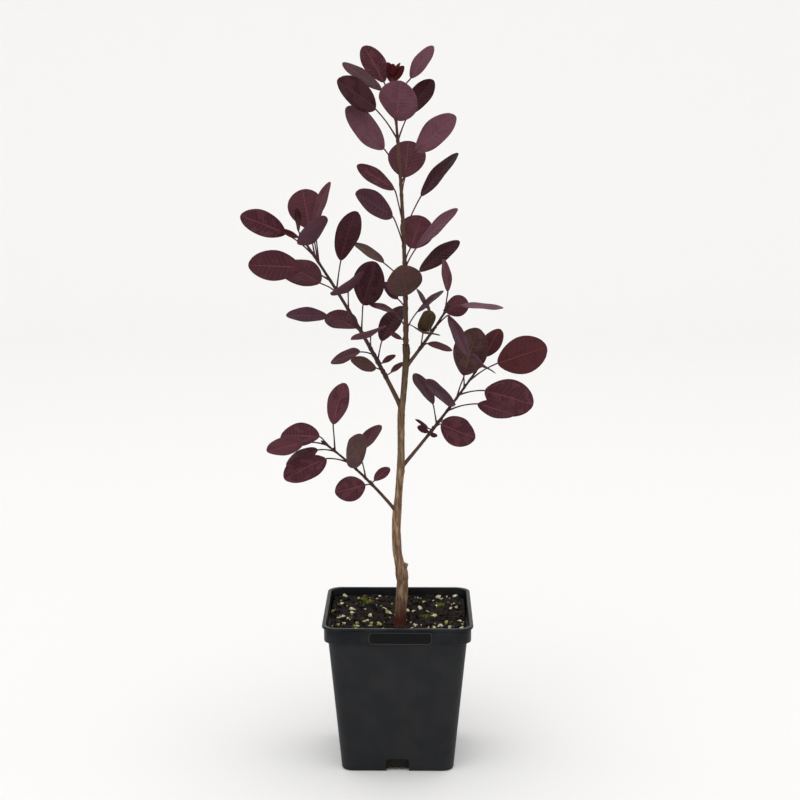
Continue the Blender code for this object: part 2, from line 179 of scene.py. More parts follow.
def mixed(tree: NodeTree, share: NodeSocket, first: NodeSocket | str, second: str) -> NodeSocket:
    """One colour turning into another.

    Args:
        tree: the material's node tree.
        share: 0 gives the first colour and 1 the second.
        first: a colour's socket or its hex value.
        second: a hex value.

    Returns:
        The colour's socket.
    """
    settings: dict = {"data_type": "RGBA", 7: linear(second)}
    links = {0: share}
    if isinstance(first, str):
        settings[6] = linear(first)
    else:
        links[6] = first
    return add_node(tree, "ShaderNodeMix", settings, links).outputs[2]


# The relief of rough crumbs and cracks, which only roughens what the meshes already show.
CRUMBLY = {"Strength": 0.8, "Distance": 0.3 * MM}


@dataclass(frozen=True)
class MouldedPlastic(Finish):
    """Moulded black polypropylene: a satin wall with dull dust and dark specks, and a glossier band."""

    band_colour: str = "#0f1114"
    dust_colour: str = "#2b2c2d"
    speck_colour: str = "#0a0b0c"
    band_foot: tuple[float, float] = (93.4 * MM, 94.2 * MM)  # the heights where the wall turns into it
    band_roughness: float = 0.34
    dust_roughness: float = 0.2  # that the dust adds
    dust: Patches = Patches(16 * MM, (0.42, 1.0), 6.0)
    specks: Patches = Patches(1.1 * MM, (0.73, 0.77), 1.0)
    grain: Patches = Patches(0.5 * MM, (0.3, 0.7), 2.0)  # coarser than the real one, so that it shows

    def add_pattern(self, tree: NodeTree, shader: Node) -> None:
        """Colours the band and the wall apart, then lays dust, specks and grain over both.

        Args:
            tree: the material's node tree.
            shader: the material's shader.
        """
        place = add_node(tree, "ShaderNodeTexCoord").outputs["Object"]
        height = add_node(tree, "ShaderNodeSeparateXYZ", links={0: place}).outputs["Z"]
        edge = {"From Min": self.band_foot[0], "From Max": self.band_foot[1]}
        band = add_node(tree, "ShaderNodeMapRange", edge, {"Value": height}).outputs[0]
        dust = self.dust.lay(tree, place)
        plain = mixed(tree, band, self.colour, self.band_colour)
        dusty = mixed(tree, dust, plain, self.dust_colour)
        specked = mixed(tree, self.specks.lay(tree, place), dusty, self.speck_colour)
        tree.links.new(specked, shader.inputs["Base Color"])
        worn = {"To Min": self.roughness, "To Max": self.roughness + self.dust_roughness}
        wall = add_node(tree, "ShaderNodeMapRange", worn, {"Value": dust}).outputs[0]
        gloss = add_node(tree, "ShaderNodeMix", {3: self.band_roughness}, {0: band, 2: wall})
        tree.links.new(gloss.outputs[0], shader.inputs["Roughness"])
        faint = {"Strength": 0.12, "Distance": 0.05 * MM}
        bump = add_node(tree, "ShaderNodeBump", faint, {"Height": self.grain.lay(tree, place)})
        tree.links.new(bump.outputs[0], shader.inputs["Normal"])


@dataclass(frozen=True)
class Peat(Finish):
    """Damp peat: matt and almost black, with drier brown crumbs and a rough grain."""

    damp_colour: str = "#0a0806"
    crumb_colour: str = "#33261a"
    damp: Patches = Patches(7 * MM, (0.4, 0.65), 4.0)
    crumbs: Patches = Patches(1.4 * MM, (0.58, 0.7), 3.0)

    def add_pattern(self, tree: NodeTree, shader: Node) -> None:
        """Lays damp patches and dry crumbs over the peat, and roughens it.

        Args:
            tree: the material's node tree.
            shader: the material's shader.
        """
        place = add_node(tree, "ShaderNodeTexCoord").outputs["Object"]
        crumbs = self.crumbs.lay(tree, place)
        peat = mixed(tree, self.damp.lay(tree, place), self.colour, self.damp_colour)
        tree.links.new(mixed(tree, crumbs, peat, self.crumb_colour), shader.inputs["Base Color"])
        bump = add_node(tree, "ShaderNodeBump", CRUMBLY, {"Height": crumbs})
        tree.links.new(bump.outputs[0], shader.inputs["Normal"])


@dataclass(frozen=True)
class StreakedBark(Finish):
    """Thin dry bark, matt and streaked lengthways: wet red-brown at the mix and more olive at the top."""

    pale_colour: str = "#a98e72"
    dark_colour: str = "#3a271b"
    foot_colour: str = "#4c1f14"
    upper_colour: str = "#4f3d2b"
    upper_heights: tuple[float, float] = (200 * MM, 285 * MM)
    foot_heights: tuple[float, float] = (97 * MM, 113 * MM)
    wet_roughness: float = 0.42
    lengthening: float = 7.0
    pale: Patches = Patches(1.5 * MM, (0.46, 0.72), 5.0)
    dark: Patches = Patches(0.9 * MM, (0.52, 0.72), 5.0)

    def add_pattern(self, tree: NodeTree, shader: Node) -> None:
        """Lays pale and dark streaks over the bark, and colours the foot.

        Args:
            tree: the material's node tree.
            shader: the material's shader.
        """
        place = add_node(tree, "ShaderNodeTexCoord").outputs["Object"]
        stretch = {"Scale": (1, 1, 1 / self.lengthening)}
        drawn = add_node(tree, "ShaderNodeMapping", stretch, {"Vector": place}).outputs[0]
        pale, dark = self.pale.lay(tree, drawn), self.dark.lay(tree, drawn)
        height = add_node(tree, "ShaderNodeSeparateXYZ", links={0: place}).outputs["Z"]
        ends = {"From Min": self.foot_heights[1], "From Max": self.foot_heights[0]}
        foot = add_node(tree, "ShaderNodeMapRange", ends, {"Value": height}).outputs[0]
        rise = {"From Min": self.upper_heights[0], "From Max": self.upper_heights[1]}
        upper = add_node(tree, "ShaderNodeMapRange", rise, {"Value": height}).outputs[0]
        body = mixed(tree, upper, mixed(tree, pale, self.colour, self.pale_colour), self.upper_colour)
        bark = mixed(tree, foot, body, self.foot_colour)
        tree.links.new(mixed(tree, dark, bark, self.dark_colour), shader.inputs["Base Color"])
        wetting = {"To Min": self.roughness, "To Max": self.wet_roughness}
        wet = add_node(tree, "ShaderNodeMapRange", wetting, {"Value": foot})
        tree.links.new(wet.outputs[0], shader.inputs["Roughness"])
        bump = add_node(tree, "ShaderNodeBump", CRUMBLY, {"Height": dark})
        tree.links.new(bump.outputs[0], shader.inputs["Normal"])


# Black polypropylene, moulded: satin, with a paler rim round the glossy label plate.
POT_PLASTIC = MouldedPlastic("charcoal_plastic_moulded", "#1e1f21", 0.45, 0.14)
LABEL_RIM = Finish("charcoal_label_rim", "#333436", 0.4, 0.2)
LABEL_PLATE = Finish("glossy_black_label_plate", "#070708", 0.3, 0.12)
# Damp peat with composted bark, expanded perlite and moss: matt, with pale and green dots.
PEAT = Peat("dark_peat_mix", "#16100b", 0.85)
LUMP = Finish("peat_lump", "#120c08", 0.8)
CHIP = Finish("brown_bark_chip", "#4e3322", 0.9)
DARK_CHIP = Finish("dark_bark_chip", "#20160f", 0.85)
PERLITE = Finish("cream_white_perlite", "#d6cdac", 0.9)
ALGAE_GRAIN = Finish("greenish_perlite", "#a5a663", 0.9)
CREAM_GRAIN = Finish("cream_grain", "#ac9c6c", 0.9)
MOSS = Finish("green_moss", "#6b7429", 0.9)
# Two-year bark and cut wood: matt. This year's bark, stalks and bud scales: smooth, with a dull gloss.
BARK = StreakedBark("streaked_olive_bark", "#6f5540", 0.8)
CUT_WOOD = Finish("pale_cut_wood", "#a08a68", 0.85)
SHOOT_BARK = Finish("purplish_young_bark", "#3b2220", 0.55)
LEADER_BARK = Finish("brown_young_bark", "#503628", 0.62)
STALK_SKIN = Finish("red_purple_stalk_skin", "#471d24", 0.5)
BUD_SCALE = Finish("dark_bud_scale", "#2c1412", 0.6)
# Matt white background paper.
BACKDROP = Finish("pale_studio_paper", "#f6f6f6", 0.95)


@dataclass(frozen=True)
class Shades:
    """The colours of one leaf: its blade's close shades, midrib, side veins and underside."""

    blade: tuple[str, str, str]
    rib: str
    vein: str
    back: str


class Tint(Enum):
    """The leaf colours, which are dealt out along each shoot. The darkest is painted shade, and the paler
    mauve is partly painted sheen.
    """

    MAROON = Shades(("#4c262e", "#532c34", "#452029"), "#69373d", "#573037", "#4e2c34")
    # Paler mauve: partly the leaves' own paler bloom and undersides, partly painted sheen where leaves catch
    # the light at a glancing angle.
    MAUVE_AND_SHEEN = Shades(("#5d3843", "#633d49", "#55323c"), "#71444c", "#66434d", "#5a3a45")
    # Painted shade: maroon darkened for the leaves that lie in shadow.
    DARK = Shades(("#37161e", "#3d1d24", "#301119"), "#4c242b", "#422229", "#3f2229")
    OLIVE = Shades(("#4c342f", "#513834", "#452d2b"), "#623b37", "#563d39", "#4f3734")
    BRONZE = Shades(("#47381e", "#4c3d24", "#3f3019"), "#5c422e", "#514430", "#4b3d29")
    PURPLE = Shades(("#442530", "#4a2a37", "#3d202c"), "#5b323c", "#4e2f3a", "#472b37")
    RED = Shades(("#471e22", "#4d2326", "#40191d"), "#643035", "#522a2d", "#4c272c")
    YOUNG = Shades(("#400b0c", "#470e11", "#370b0b"), "#581c1d", "#4b181a", "#420f14")


# The ranges of a blade's arch, fold and twist, as in the CAD source.
BLADE_ARCH = (-0.01, 0.03)
BLADE_FOLD = (3, 9)
BLADE_TWIST = (-14, 14)
# A blade's upper side is the one that faces up, and on an upright blade the one that faces +X.
UPRIGHT_PULL = 0.1


def heading(lean: float, swing: float) -> Vector:
    """The unit vector of a direction on the plant."""
    lean, swing = math.radians(lean), math.radians(swing)
    return Vector((math.cos(swing) * math.cos(lean), math.sin(swing), math.cos(swing) * math.sin(lean)))


@dataclass(frozen=True)
class Leaf:
    """A leaf on a shoot: where its stalk starts, and the (lean, swing, length) of its stalk and blade.

    Lengths are in millimetres. turn rolls the blade about its length, and wide is its width for its length.
    """

    at: float
    stalk: tuple[float, float, float]
    blade: tuple[float, float, float]
    turn: float
    wide: float
    tint: Tint

    def frame(self) -> tuple[Vector, Vector, Vector]:
        """The blade's axes, by the rule of the CAD source.

        Returns:
            (length direction, width direction, upper normal).
        """
        along = heading(*self.blade[:2])
        front = Vector((0, -1, 0))
        front = (front - along * front.dot(along)).normalized()
        up = along.cross(front)
        if up.z + UPRIGHT_PULL * up.x < 0:
            up = -up
        turn = math.radians(self.turn)
        normal = front * math.cos(turn) + up * math.sin(turn)
        return along, normal.cross(along).normalized(), normal


@dataclass(frozen=True)
class Shoot:
    """A shoot: its root, how its lean and swing run from root to tip, and its leaves.

    Lengths are in millimetres, thick is its diameter at root and tip, and bare is its leafless start.
    The tip leaves are small young ones, inside the reach of the shoot's CAD mass.
    """

    name: str
    root: tuple[float, float, float]
    lean: tuple[float, float]
    swing: tuple[float, float]
    length: float
    thick: tuple[float, float]
    bare: float
    leaves: tuple[Leaf, ...]
    tip_leaves: tuple[Leaf, ...] = ()

    def way(self, share: float) -> Vector:
        """The direction of its axis at a share of its length."""
        lean, swing = (first + (last - first) * share for first, last in (self.lean, self.swing))
        return heading(lean, swing)

    def point(self, along: float) -> Vector:
        """A place on its axis, worked out in short straight steps.

        Args:
            along: how far along it, in metres.

        Returns:
            The place.
        """
        steps = 24
        share = along / (self.length * MM)
        place = Vector(self.root) * MM
        for i in range(steps):
            place += self.way(share * (i + 0.5) / steps) * along / steps
        return place

    def radius(self, along: float) -> float:
        """The stem's radius at a distance along it."""
        share = min(along / (self.length * MM), 1)
        return (self.thick[0] + (self.thick[1] - self.thick[0]) * share) * MM / 2

    def blades(self) -> list["Blade"]:
        """The blades of its leaves, and then of its tip leaves."""
        return [Blade.grown(self, i, leaf) for i, leaf in enumerate((*self.leaves, *self.tip_leaves))]


@dataclass(frozen=True)
class Blade:
    """A leaf's blade in its place, with its own arch, fold and twist."""

    leaf: Leaf
    stalk_start: Vector
    foot: Vector
    arch: float  # the midrib's rise for each unit of length
    fold: float  # radians
    twist: float  # radians
    widest: float = 1.08  # over 1 moves its widest place towards the tip
    fullness: float = 0.56  # the less, the rounder its ends
    tip_fullness: float = 0.04  # that comes off towards the tip

    @classmethod
    def grown(cls, shoot: Shoot, index: int, leaf: Leaf) -> "Blade":
        """A blade of a shoot, whose habit comes from its number there.

        Args:
            shoot: the shoot.
            index: the leaf's number.
            leaf: the leaf.

        Returns:
            The blade.
        """
        draw = random.Random(f"{shoot.name} {index}")
        fold = math.radians(draw.uniform(*BLADE_FOLD))
        arch = draw.uniform(*BLADE_ARCH)
        twist = math.radians(draw.uniform(*BLADE_TWIST))
        start = shoot.point(leaf.at * MM)
        foot = start + heading(*leaf.stalk[:2]) * leaf.stalk[2] * MM
        return cls(leaf, start, foot, arch, fold, twist)

    @property
    def length(self) -> float:
        """Its length in metres."""
        return self.leaf.blade[2] * MM

    def reach(self, u: float) -> float:
        """Half its width at a share of its length: the CAD source's, with a rounder foot.

        Args:
            u: the share, from foot to tip.

        Returns:
            The half-width in metres.
        """
        if not 0 < u < 1:
            return 0.0
        bulge = math.sin(math.pi * u**self.widest) ** (self.fullness - self.tip_fullness * u)
        return 0.5 * bulge * self.leaf.wide * self.length

    def point(self, u: float, side: float) -> tuple[Vector, Vector]:
        """A point of its middle surface, and the way its upper side faces.

        Args:
            u: the share of its length, from foot to tip.
            side: the share of its half-width, from -1 to 1.

        Returns:
            (point, upper normal).
        """
        along, across, normal = self.leaf.frame()
        turned = self.twist * (u - 0.5)
        across, normal = (
            across * math.cos(turned) + normal * math.sin(turned),
            normal * math.cos(turned) - across * math.sin(turned),
        )
        reach = self.reach(u)
        rise = 4 * u * (1 - u) * self.arch * self.length + abs(side) * reach * math.sin(self.fold)
        place = self.foot + along * u * self.length + across * side * reach * math.cos(self.fold)
        return place + normal * rise, normal


LOWER_LEFT = Shoot(
    name="lower_left",
    root=(-1.0, -0.2, 173),
    lean=(125, 139),
    swing=(-20, -20),
    length=78,
    thick=(2.4, 1.3),
    bare=20,
    leaves=(
        Leaf(30, (47, -10, 3), (37, 20, 14), 40, 0.60, Tint.MAROON),
        Leaf(29, (172, -40, 6), (185, -40, 26), 15, 0.66, Tint.MAROON),
        Leaf(36, (98, -45, 20), (112, -45, 30), 45, 0.78, Tint.OLIVE),
        Leaf(46, (90, 25, 11), (47, 20, 26), 60, 0.58, Tint.MAROON),
        Leaf(54, (164, -28, 17), (203, -22, 32), 50, 0.72, Tint.MAROON),
        Leaf(67, (179, 15, 12), (208, 15, 26), 60, 0.60, Tint.MAROON),
        Leaf(67, (94, 10, 18), (74, 10, 29), 35, 0.60, Tint.MAROON),
        Leaf(72, (137, 20, 10), (184, 25, 30), 45, 0.66, Tint.MAROON),
        Leaf(75, (170, -25, 17), (189, -25, 26), 50, 0.60, Tint.MAROON),
    ),
)
UPPER_LEFT = Shoot(
    name="upper_left",
    root=(2.2, 0.2, 246),
    lean=(117, 126),
    swing=(15, 15),
    length=139,
    thick=(3.2, 1.6),
    bare=22,
    leaves=(
        Leaf(24, (34, 30, 5), (37, 30, 12), 55, 0.50, Tint.MAROON),
        Leaf(28, (149, -25, 6), (158, -35, 22), 50, 0.54, Tint.OLIVE),
        Leaf(35, (350, 20, 3), (29, 20, 11), 50, 0.50, Tint.MAROON),
        Leaf(36, (78, 10, 14), (58, 35, 32), 45, 0.56, Tint.DARK),
        Leaf(41, (174, 35, 12), (203, 30, 26), 65, 0.58, Tint.MAROON),
        Leaf(46, (89, -40, 12), (96, -76, 34), 195, 0.76, Tint.MAUVE_AND_SHEEN),
        Leaf(57, (141, 40, 8), (160, 40, 29), 50, 0.68, Tint.MAROON),
        Leaf(59, (87, 15, 19), (73, -20, 34), 25, 0.72, Tint.DARK),
        Leaf(62, (156, -15, 24), (178, -15, 29), 60, 0.56, Tint.PURPLE),
        Leaf(77, (89, -35, 16), (78, -70, 36), 135, 0.76, Tint.MAUVE_AND_SHEEN),
        Leaf(90, (154, 35, 18), (155, 30, 34), 45, 0.74, Tint.MAROON),
        Leaf(93, (81, -15, 22), (73, 15, 36), 35, 0.56, Tint.DARK),
        Leaf(101, (153, -20, 23), (176, -15, 37), 30, 0.62, Tint.MAROON),
        Leaf(116, (96, -5, 27), (69, 5, 31), 55, 0.42, Tint.MAROON),
        Leaf(118, (94, -45, 19), (90, -62, 35), 220, 0.76, Tint.MAUVE_AND_SHEEN),
        Leaf(121, (103, 25, 21), (102, 35, 33), 5, 0.76, Tint.MAROON),
        Leaf(122, (141, -10, 25), (157, -15, 34), 30, 0.56, Tint.MAROON),
        Leaf(136, (146, -50, 5), (156, -38, 16), 60, 0.45, Tint.YOUNG),
        Leaf(138, (110, -45, 6), (94, -30, 19), 65, 0.45, Tint.YOUNG),
    ),
)
LOWER_RIGHT = Shoot(
    name="lower_right",
    root=(1.9, 0.3, 204),
    lean=(48, 54),
    swing=(15, 15),
    length=85,
    thick=(2.6, 1.4),
    bare=28,
    leaves=(
        Leaf(31, (114, -30, 2), (154, -30, 10), 45, 0.60, Tint.DARK),
        Leaf(31, (291, -40, 1), (358, -30, 6), 10, 0.55, Tint.DARK),
        Leaf(34, (156, 0, 3), (145, 0, 11), 60, 0.35, Tint.DARK),
        Leaf(36, (32, -20, 6), (343, -30, 28), 0, 0.74, Tint.MAROON),
        Leaf(39, (101, 30, 15), (123, 30, 27), 60, 0.60, Tint.PURPLE),
        Leaf(42, (338, 10, 2), (350, 20, 21), 35, 0.50, Tint.MAROON),
        Leaf(51, (19, -30, 25), (346, -20, 27), 50, 0.60, Tint.MAROON),
        Leaf(54, (40, -40, 6), (140, -35, 34), 70, 0.56, Tint.PURPLE),
        Leaf(62, (70, 25, 17), (92, 20, 24), 0, 0.50, Tint.OLIVE),
        Leaf(65, (11, -10, 18), (345, -10, 35), 25, 0.76, Tint.MAROON),
        Leaf(71, (92, -20, 10), (74, 0, 34), 15, 0.72, Tint.OLIVE),
        Leaf(77, (29, 20, 24), (17, 10, 37), 0, 0.72, Tint.RED),
        Leaf(84, (54, -55, 12), (90, -78, 30), 140, 0.70, Tint.MAUVE_AND_SHEEN),
        Leaf(84.5, (53, 30, 14), (61, 25, 23), 35, 0.66, Tint.RED),
    ),
)
UPPER_RIGHT = Shoot(
    name="upper_right",
    root=(5.2, 0.0, 274),
    lean=(54, 60),
    swing=(-20, -20),
    length=55,
    thick=(2.6, 1.4),
    bare=16,
    leaves=(
        Leaf(18, (36, -10, 6), (343, 10, 18), 60, 0.45, Tint.MAROON),
        Leaf(19, (83, -40, 14), (100, -80, 32), 150, 0.74, Tint.OLIVE),
        Leaf(32, (93, 30, 15), (120, 30, 20), 75, 0.50, Tint.DARK),
        Leaf(34, (171, -50, 5), (100, -50, 24), 30, 0.62, Tint.BRONZE),
        Leaf(36, (46, -30, 16), (295, -25, 31), 60, 0.50, Tint.PURPLE),
        Leaf(50, (96, 20, 2), (12, 40, 22), 5, 0.66, Tint.MAROON),
        Leaf(51, (83, -10, 14), (99, 0, 22), 55, 0.50, Tint.MAROON),
        Leaf(54, (9, 10, 9), (356, 15, 30), 80, 0.50, Tint.MAUVE_AND_SHEEN),
    ),
)
LEADER = Shoot(
    name="leader",
    root=(5.25, 0.0, 289.3),
    lean=(90, 96),
    swing=(0, 0),
    length=179,
    thick=(3.5, 1.4),
    bare=0,
    leaves=(
        Leaf(3, (160, -10, 3), (151, 0, 9), 45, 0.50, Tint.MAROON),
        Leaf(10, (60, -20, 16), (40, -15, 24), 75, 0.50, Tint.PURPLE),
        Leaf(12, (129, 20, 13), (163, 20, 20), 70, 0.50, Tint.MAROON),
        Leaf(25, (128, -20, 9), (129, -20, 16), 35, 0.50, Tint.PURPLE),
        Leaf(32, (67, -55, 4), (99, -50, 36), 10, 0.68, Tint.OLIVE),
        Leaf(37, (53, 10, 16), (37, 5, 34), 55, 0.50, Tint.DARK),
        Leaf(41, (137, 30, 23), (148, 20, 26), 65, 0.50, Tint.OLIVE),
        Leaf(52, (61, -10, 16), (44, -10, 39), 65, 0.42, Tint.MAUVE_AND_SHEEN),
        Leaf(56, (67, 35, 12), (69, 35, 27), 0, 0.88, Tint.MAROON),
        Leaf(67, (110, -25, 24), (147, -25, 32), 50, 0.66, Tint.PURPLE),
        Leaf(75, (65, 10, 28), (49, 0, 38), 60, 0.45, Tint.DARK),
        Leaf(82, (104, -10, 24), (147, -10, 30), 50, 0.50, Tint.MAROON),
        Leaf(101, (79, 40, 15), (84, 45, 34), 5, 0.76, Tint.MAROON),
        Leaf(108, (66, -20, 26), (41, -15, 36), 40, 0.60, Tint.MAUVE_AND_SHEEN),
        Leaf(114, (121, -10, 21), (133, -15, 38), 50, 0.66, Tint.MAUVE_AND_SHEEN),
        Leaf(136, (92, -40, 19), (84, -45, 36), 15, 0.74, Tint.MAUVE_AND_SHEEN),
        Leaf(137, (68, 10, 19), (55, 15, 29), 35, 0.60, Tint.DARK),
        Leaf(138, (126, -20, 26), (143, -25, 34), 35, 0.62, Tint.DARK),
        Leaf(149, (116, 30, 27), (144, 15, 33), 65, 0.60, Tint.MAROON),
        Leaf(160, (115, 20, 18), (120, 10, 28), 30, 0.62, Tint.MAROON),
        Leaf(164, (52, 10, 18), (55, 5, 26), 45, 0.55, Tint.MAUVE_AND_SHEEN),
        Leaf(173, (112, 0, 2), (54, -10, 14), 30, 0.45, Tint.YOUNG),
        Leaf(174, (132, 0, 2), (98, 10, 10), 0, 0.45, Tint.YOUNG),
    ),
    tip_leaves=(
        Leaf(178, (96, -30, 3), (112, -25, 9), 40, 0.62, Tint.YOUNG),
        Leaf(178, (82, -35, 3), (84, -30, 8), 20, 0.70, Tint.YOUNG),
        Leaf(178, (70, 20, 3), (60, 15, 9), 60, 0.60, Tint.YOUNG),
        Leaf(177, (120, -20, 2), (128, -30, 7), 70, 0.60, Tint.YOUNG),
    ),
)
SHOOTS = (LOWER_LEFT, UPPER_LEFT, LOWER_RIGHT, UPPER_RIGHT, LEADER)


def smoothed(rows: Sequence[Sequence[float]], steps: int) -> list[list[float]]:
    """A smooth run of rows through the given ones.

    Args:
        rows: the given rows.
        steps: how many rows each pair of them becomes.

    Returns:
        The rows.
    """
    out = []
    for i in range(len(rows) - 1):
        four = [rows[min(max(i + k, 0), len(rows) - 1)] for k in (-1, 0, 1, 2)]
        for step in range(steps):
            t = step / steps
            weights = (
                (-t + 2 * t * t - t**3) / 2,
                (2 - 5 * t * t + 3 * t**3) / 2,
                (t + 4 * t * t - 3 * t**3) / 2,
                (t**3 - t * t) / 2,
            )
            out.append([sum(w * row[k] for w, row in zip(weights, four)) for k in range(len(rows[0]))])
    return [*out, list(rows[-1])]


def tube_rings(places: Sequence[Vector], radii: Sequence[float], sides: int) -> list[list[Vector]]:
    """Rings across a path, each turned no more than the path bends.

    Args:
        places: the path.
        radii: the tube's radius at each place.
        sides: how many points a ring has.

    Returns:
        The rings.
    """
    rings, across = [], None
    for i, (place, radius) in enumerate(zip(places, radii)):
        way = (places[min(i + 1, len(places) - 1)] - places[max(i - 1, 0)]).normalized()
        across = way.orthogonal() if across is None else across - way * across.dot(way)
        across.normalize()
        other = way.cross(across)
        turns = [math.tau * j / sides for j in range(sides)]
        rings.append([place + (across * math.cos(a) + other * math.sin(a)) * radius for a in turns])
    return rings


def roughened(rings: list[list[Vector]], places: Sequence[Vector], size: float, rise: float) -> None:
    """Moves the points of a tube's rings in and out.

    Args:
        rings: the rings.
        places: their middles.
        size: how large the bumps are.
        rise: how far they stand out.
    """
    for ring, place in zip(rings, places):
        for point in ring:
            point += (point - place).normalized() * noise.noise(point / size) * rise


def fresh(add: Callable, **sizes: float) -> Object:
    """Adds a primitive with nothing else selected.

    Args:
        add: the operator that adds it.
        sizes: what the operator is given.

    Returns:
        The object.
    """
    bpy.ops.object.select_all(action="DESELECT")
    add(**sizes)
    return bpy.context.object


def placed(piece: Object) -> Object:
    """Lets a piece ride on the plant.

    Args:
        piece: the piece.

    Returns:
        The piece.
    """
    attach(piece, "root")
    return piece


@dataclass(frozen=True)
class Grain:
    """The points and faces of a small body of about unit radius, and how far its copies are crumpled."""

    points: tuple[Vector, ...]
    faces: tuple[tuple[int, ...], ...]
    crumple: float
    fineness: float = 1.4  # of the crumpling
    seed_step: tuple[float, float, float] = (7.3, 3.1, 1.7)

    @classmethod
    def round_one(cls, subdivisions: int, crumple: float) -> "Grain":
        """A round grain."""
        fresh(bpy.ops.mesh.primitive_ico_sphere_add, subdivisions=subdivisions, radius=1)
        return cls.taken(crumple)

    @classmethod
    def flake(cls, crumple: float) -> "Grain":
        """A flat chip with broken edges.

        Args:
            crumple: how far its copies are crumpled.

        Returns:
            The chip.
        """
        half_sizes, broken_edge = (1, 0.5, 0.2), 0.12
        fresh(bpy.ops.mesh.primitive_cube_add, size=2)
        bpy.ops.object.mode_set(mode="EDIT")
        bpy.ops.transform.resize(value=half_sizes)
        bpy.ops.mesh.bevel(offset=broken_edge, segments=1)
        bpy.ops.object.mode_set(mode="OBJECT")
        return cls.taken(crumple)

    @classmethod
    def taken(cls, crumple: float) -> "Grain":
        """The active object as a grain; the object itself is removed.

        Args:
            crumple: how far its copies are crumpled.

        Returns:
            The grain.
        """
        source = bpy.context.object
        points = tuple(v.co.copy() for v in source.data.vertices)
        faces = tuple(tuple(p.vertices) for p in source.data.polygons)
        bpy.data.objects.remove(source)
        return cls(points, faces, crumple)


@dataclass
class Surface:
    """Points and faces that become one piece, with a finish for each face."""

    points: list[Vector] = field(default_factory=list)
    faces: list[tuple[int, ...]] = field(default_factory=list)
    finishes: list[Finish] = field(default_factory=list)
    numbers: list[int] = field(default_factory=list)
    merging: float = 0.004 * MM  # points closer than this become one

    def add_face(self, corners: tuple[int, ...], finish: Finish) -> None:
        """Adds a face between points.

        Args:
            corners: the numbers of its points.
            finish: its finish.
        """
        if finish not in self.finishes:
            self.finishes.append(finish)
        self.faces.append(corners)
        self.numbers.append(self.finishes.index(finish))

    def add_tube(self, rings: list[list[Vector]], finish: Finish, end: Finish | None = None) -> None:
        """Joins equal rings into a closed tube.

        Args:
            rings: the rings.
            finish: its finish.
            end: the finish of its last cap, where that has its own.
        """
        first, count = len(self.points), len(rings[0])
        last = first + (len(rings) - 1) * count
        for ring in rings:
            self.points.extend(ring)
        for low in range(first, last, count):
            for j in range(count):
                k = (j + 1) % count
                self.add_face((low + j, low + k, low + count + k, low + count + j), finish)
        self.add_face(tuple(first + j for j in reversed(range(count))), finish)
        self.add_face(tuple(last + j for j in range(count)), end or finish)

    def add_copy(self, template: Grain, placing: Matrix, finish: Finish, seed: float) -> None:
        """Adds a crumpled copy of a grain.

        Args:
            template: the grain.
            placing: where it lies, and how large.
            finish: its finish.
            seed: gives each copy its own crumpling.
        """
        first = len(self.points)
        shift = Vector([seed * step for step in template.seed_step])
        for point in template.points:
            grown = 1 + template.crumple * noise.noise(point * template.fineness + shift)
            self.points.append(placing @ (point * grown))
        for face in template.faces:
            self.add_face(tuple(first + corner for corner in face), finish)

    def make_piece(self, name: str, smooth: bool = True) -> Object:
        """Makes the piece, with doubles merged and every face pointing outwards.

        Args:
            name: its name.
            smooth: whether it is shaded smooth.

        Returns:
            The piece, which rides on the plant.
        """
        mesh = bpy.data.meshes.new(name)
        mesh.from_pydata(self.points, [], self.faces)
        for finish in self.finishes:
            mesh.materials.append(finish.material())
        mesh.polygons.foreach_set("material_index", self.numbers)
        edit = bmesh.new()
        edit.from_mesh(mesh)
        bmesh.ops.remove_doubles(edit, verts=edit.verts, dist=self.merging)
        bmesh.ops.recalc_face_normals(edit, faces=edit.faces)
        for face in edit.faces:
            face.smooth = smooth
        edit.to_mesh(mesh)
        edit.free()
        piece = bpy.data.objects.new(name, mesh)
        bpy.context.scene.collection.objects.link(piece)
        return placed(piece)


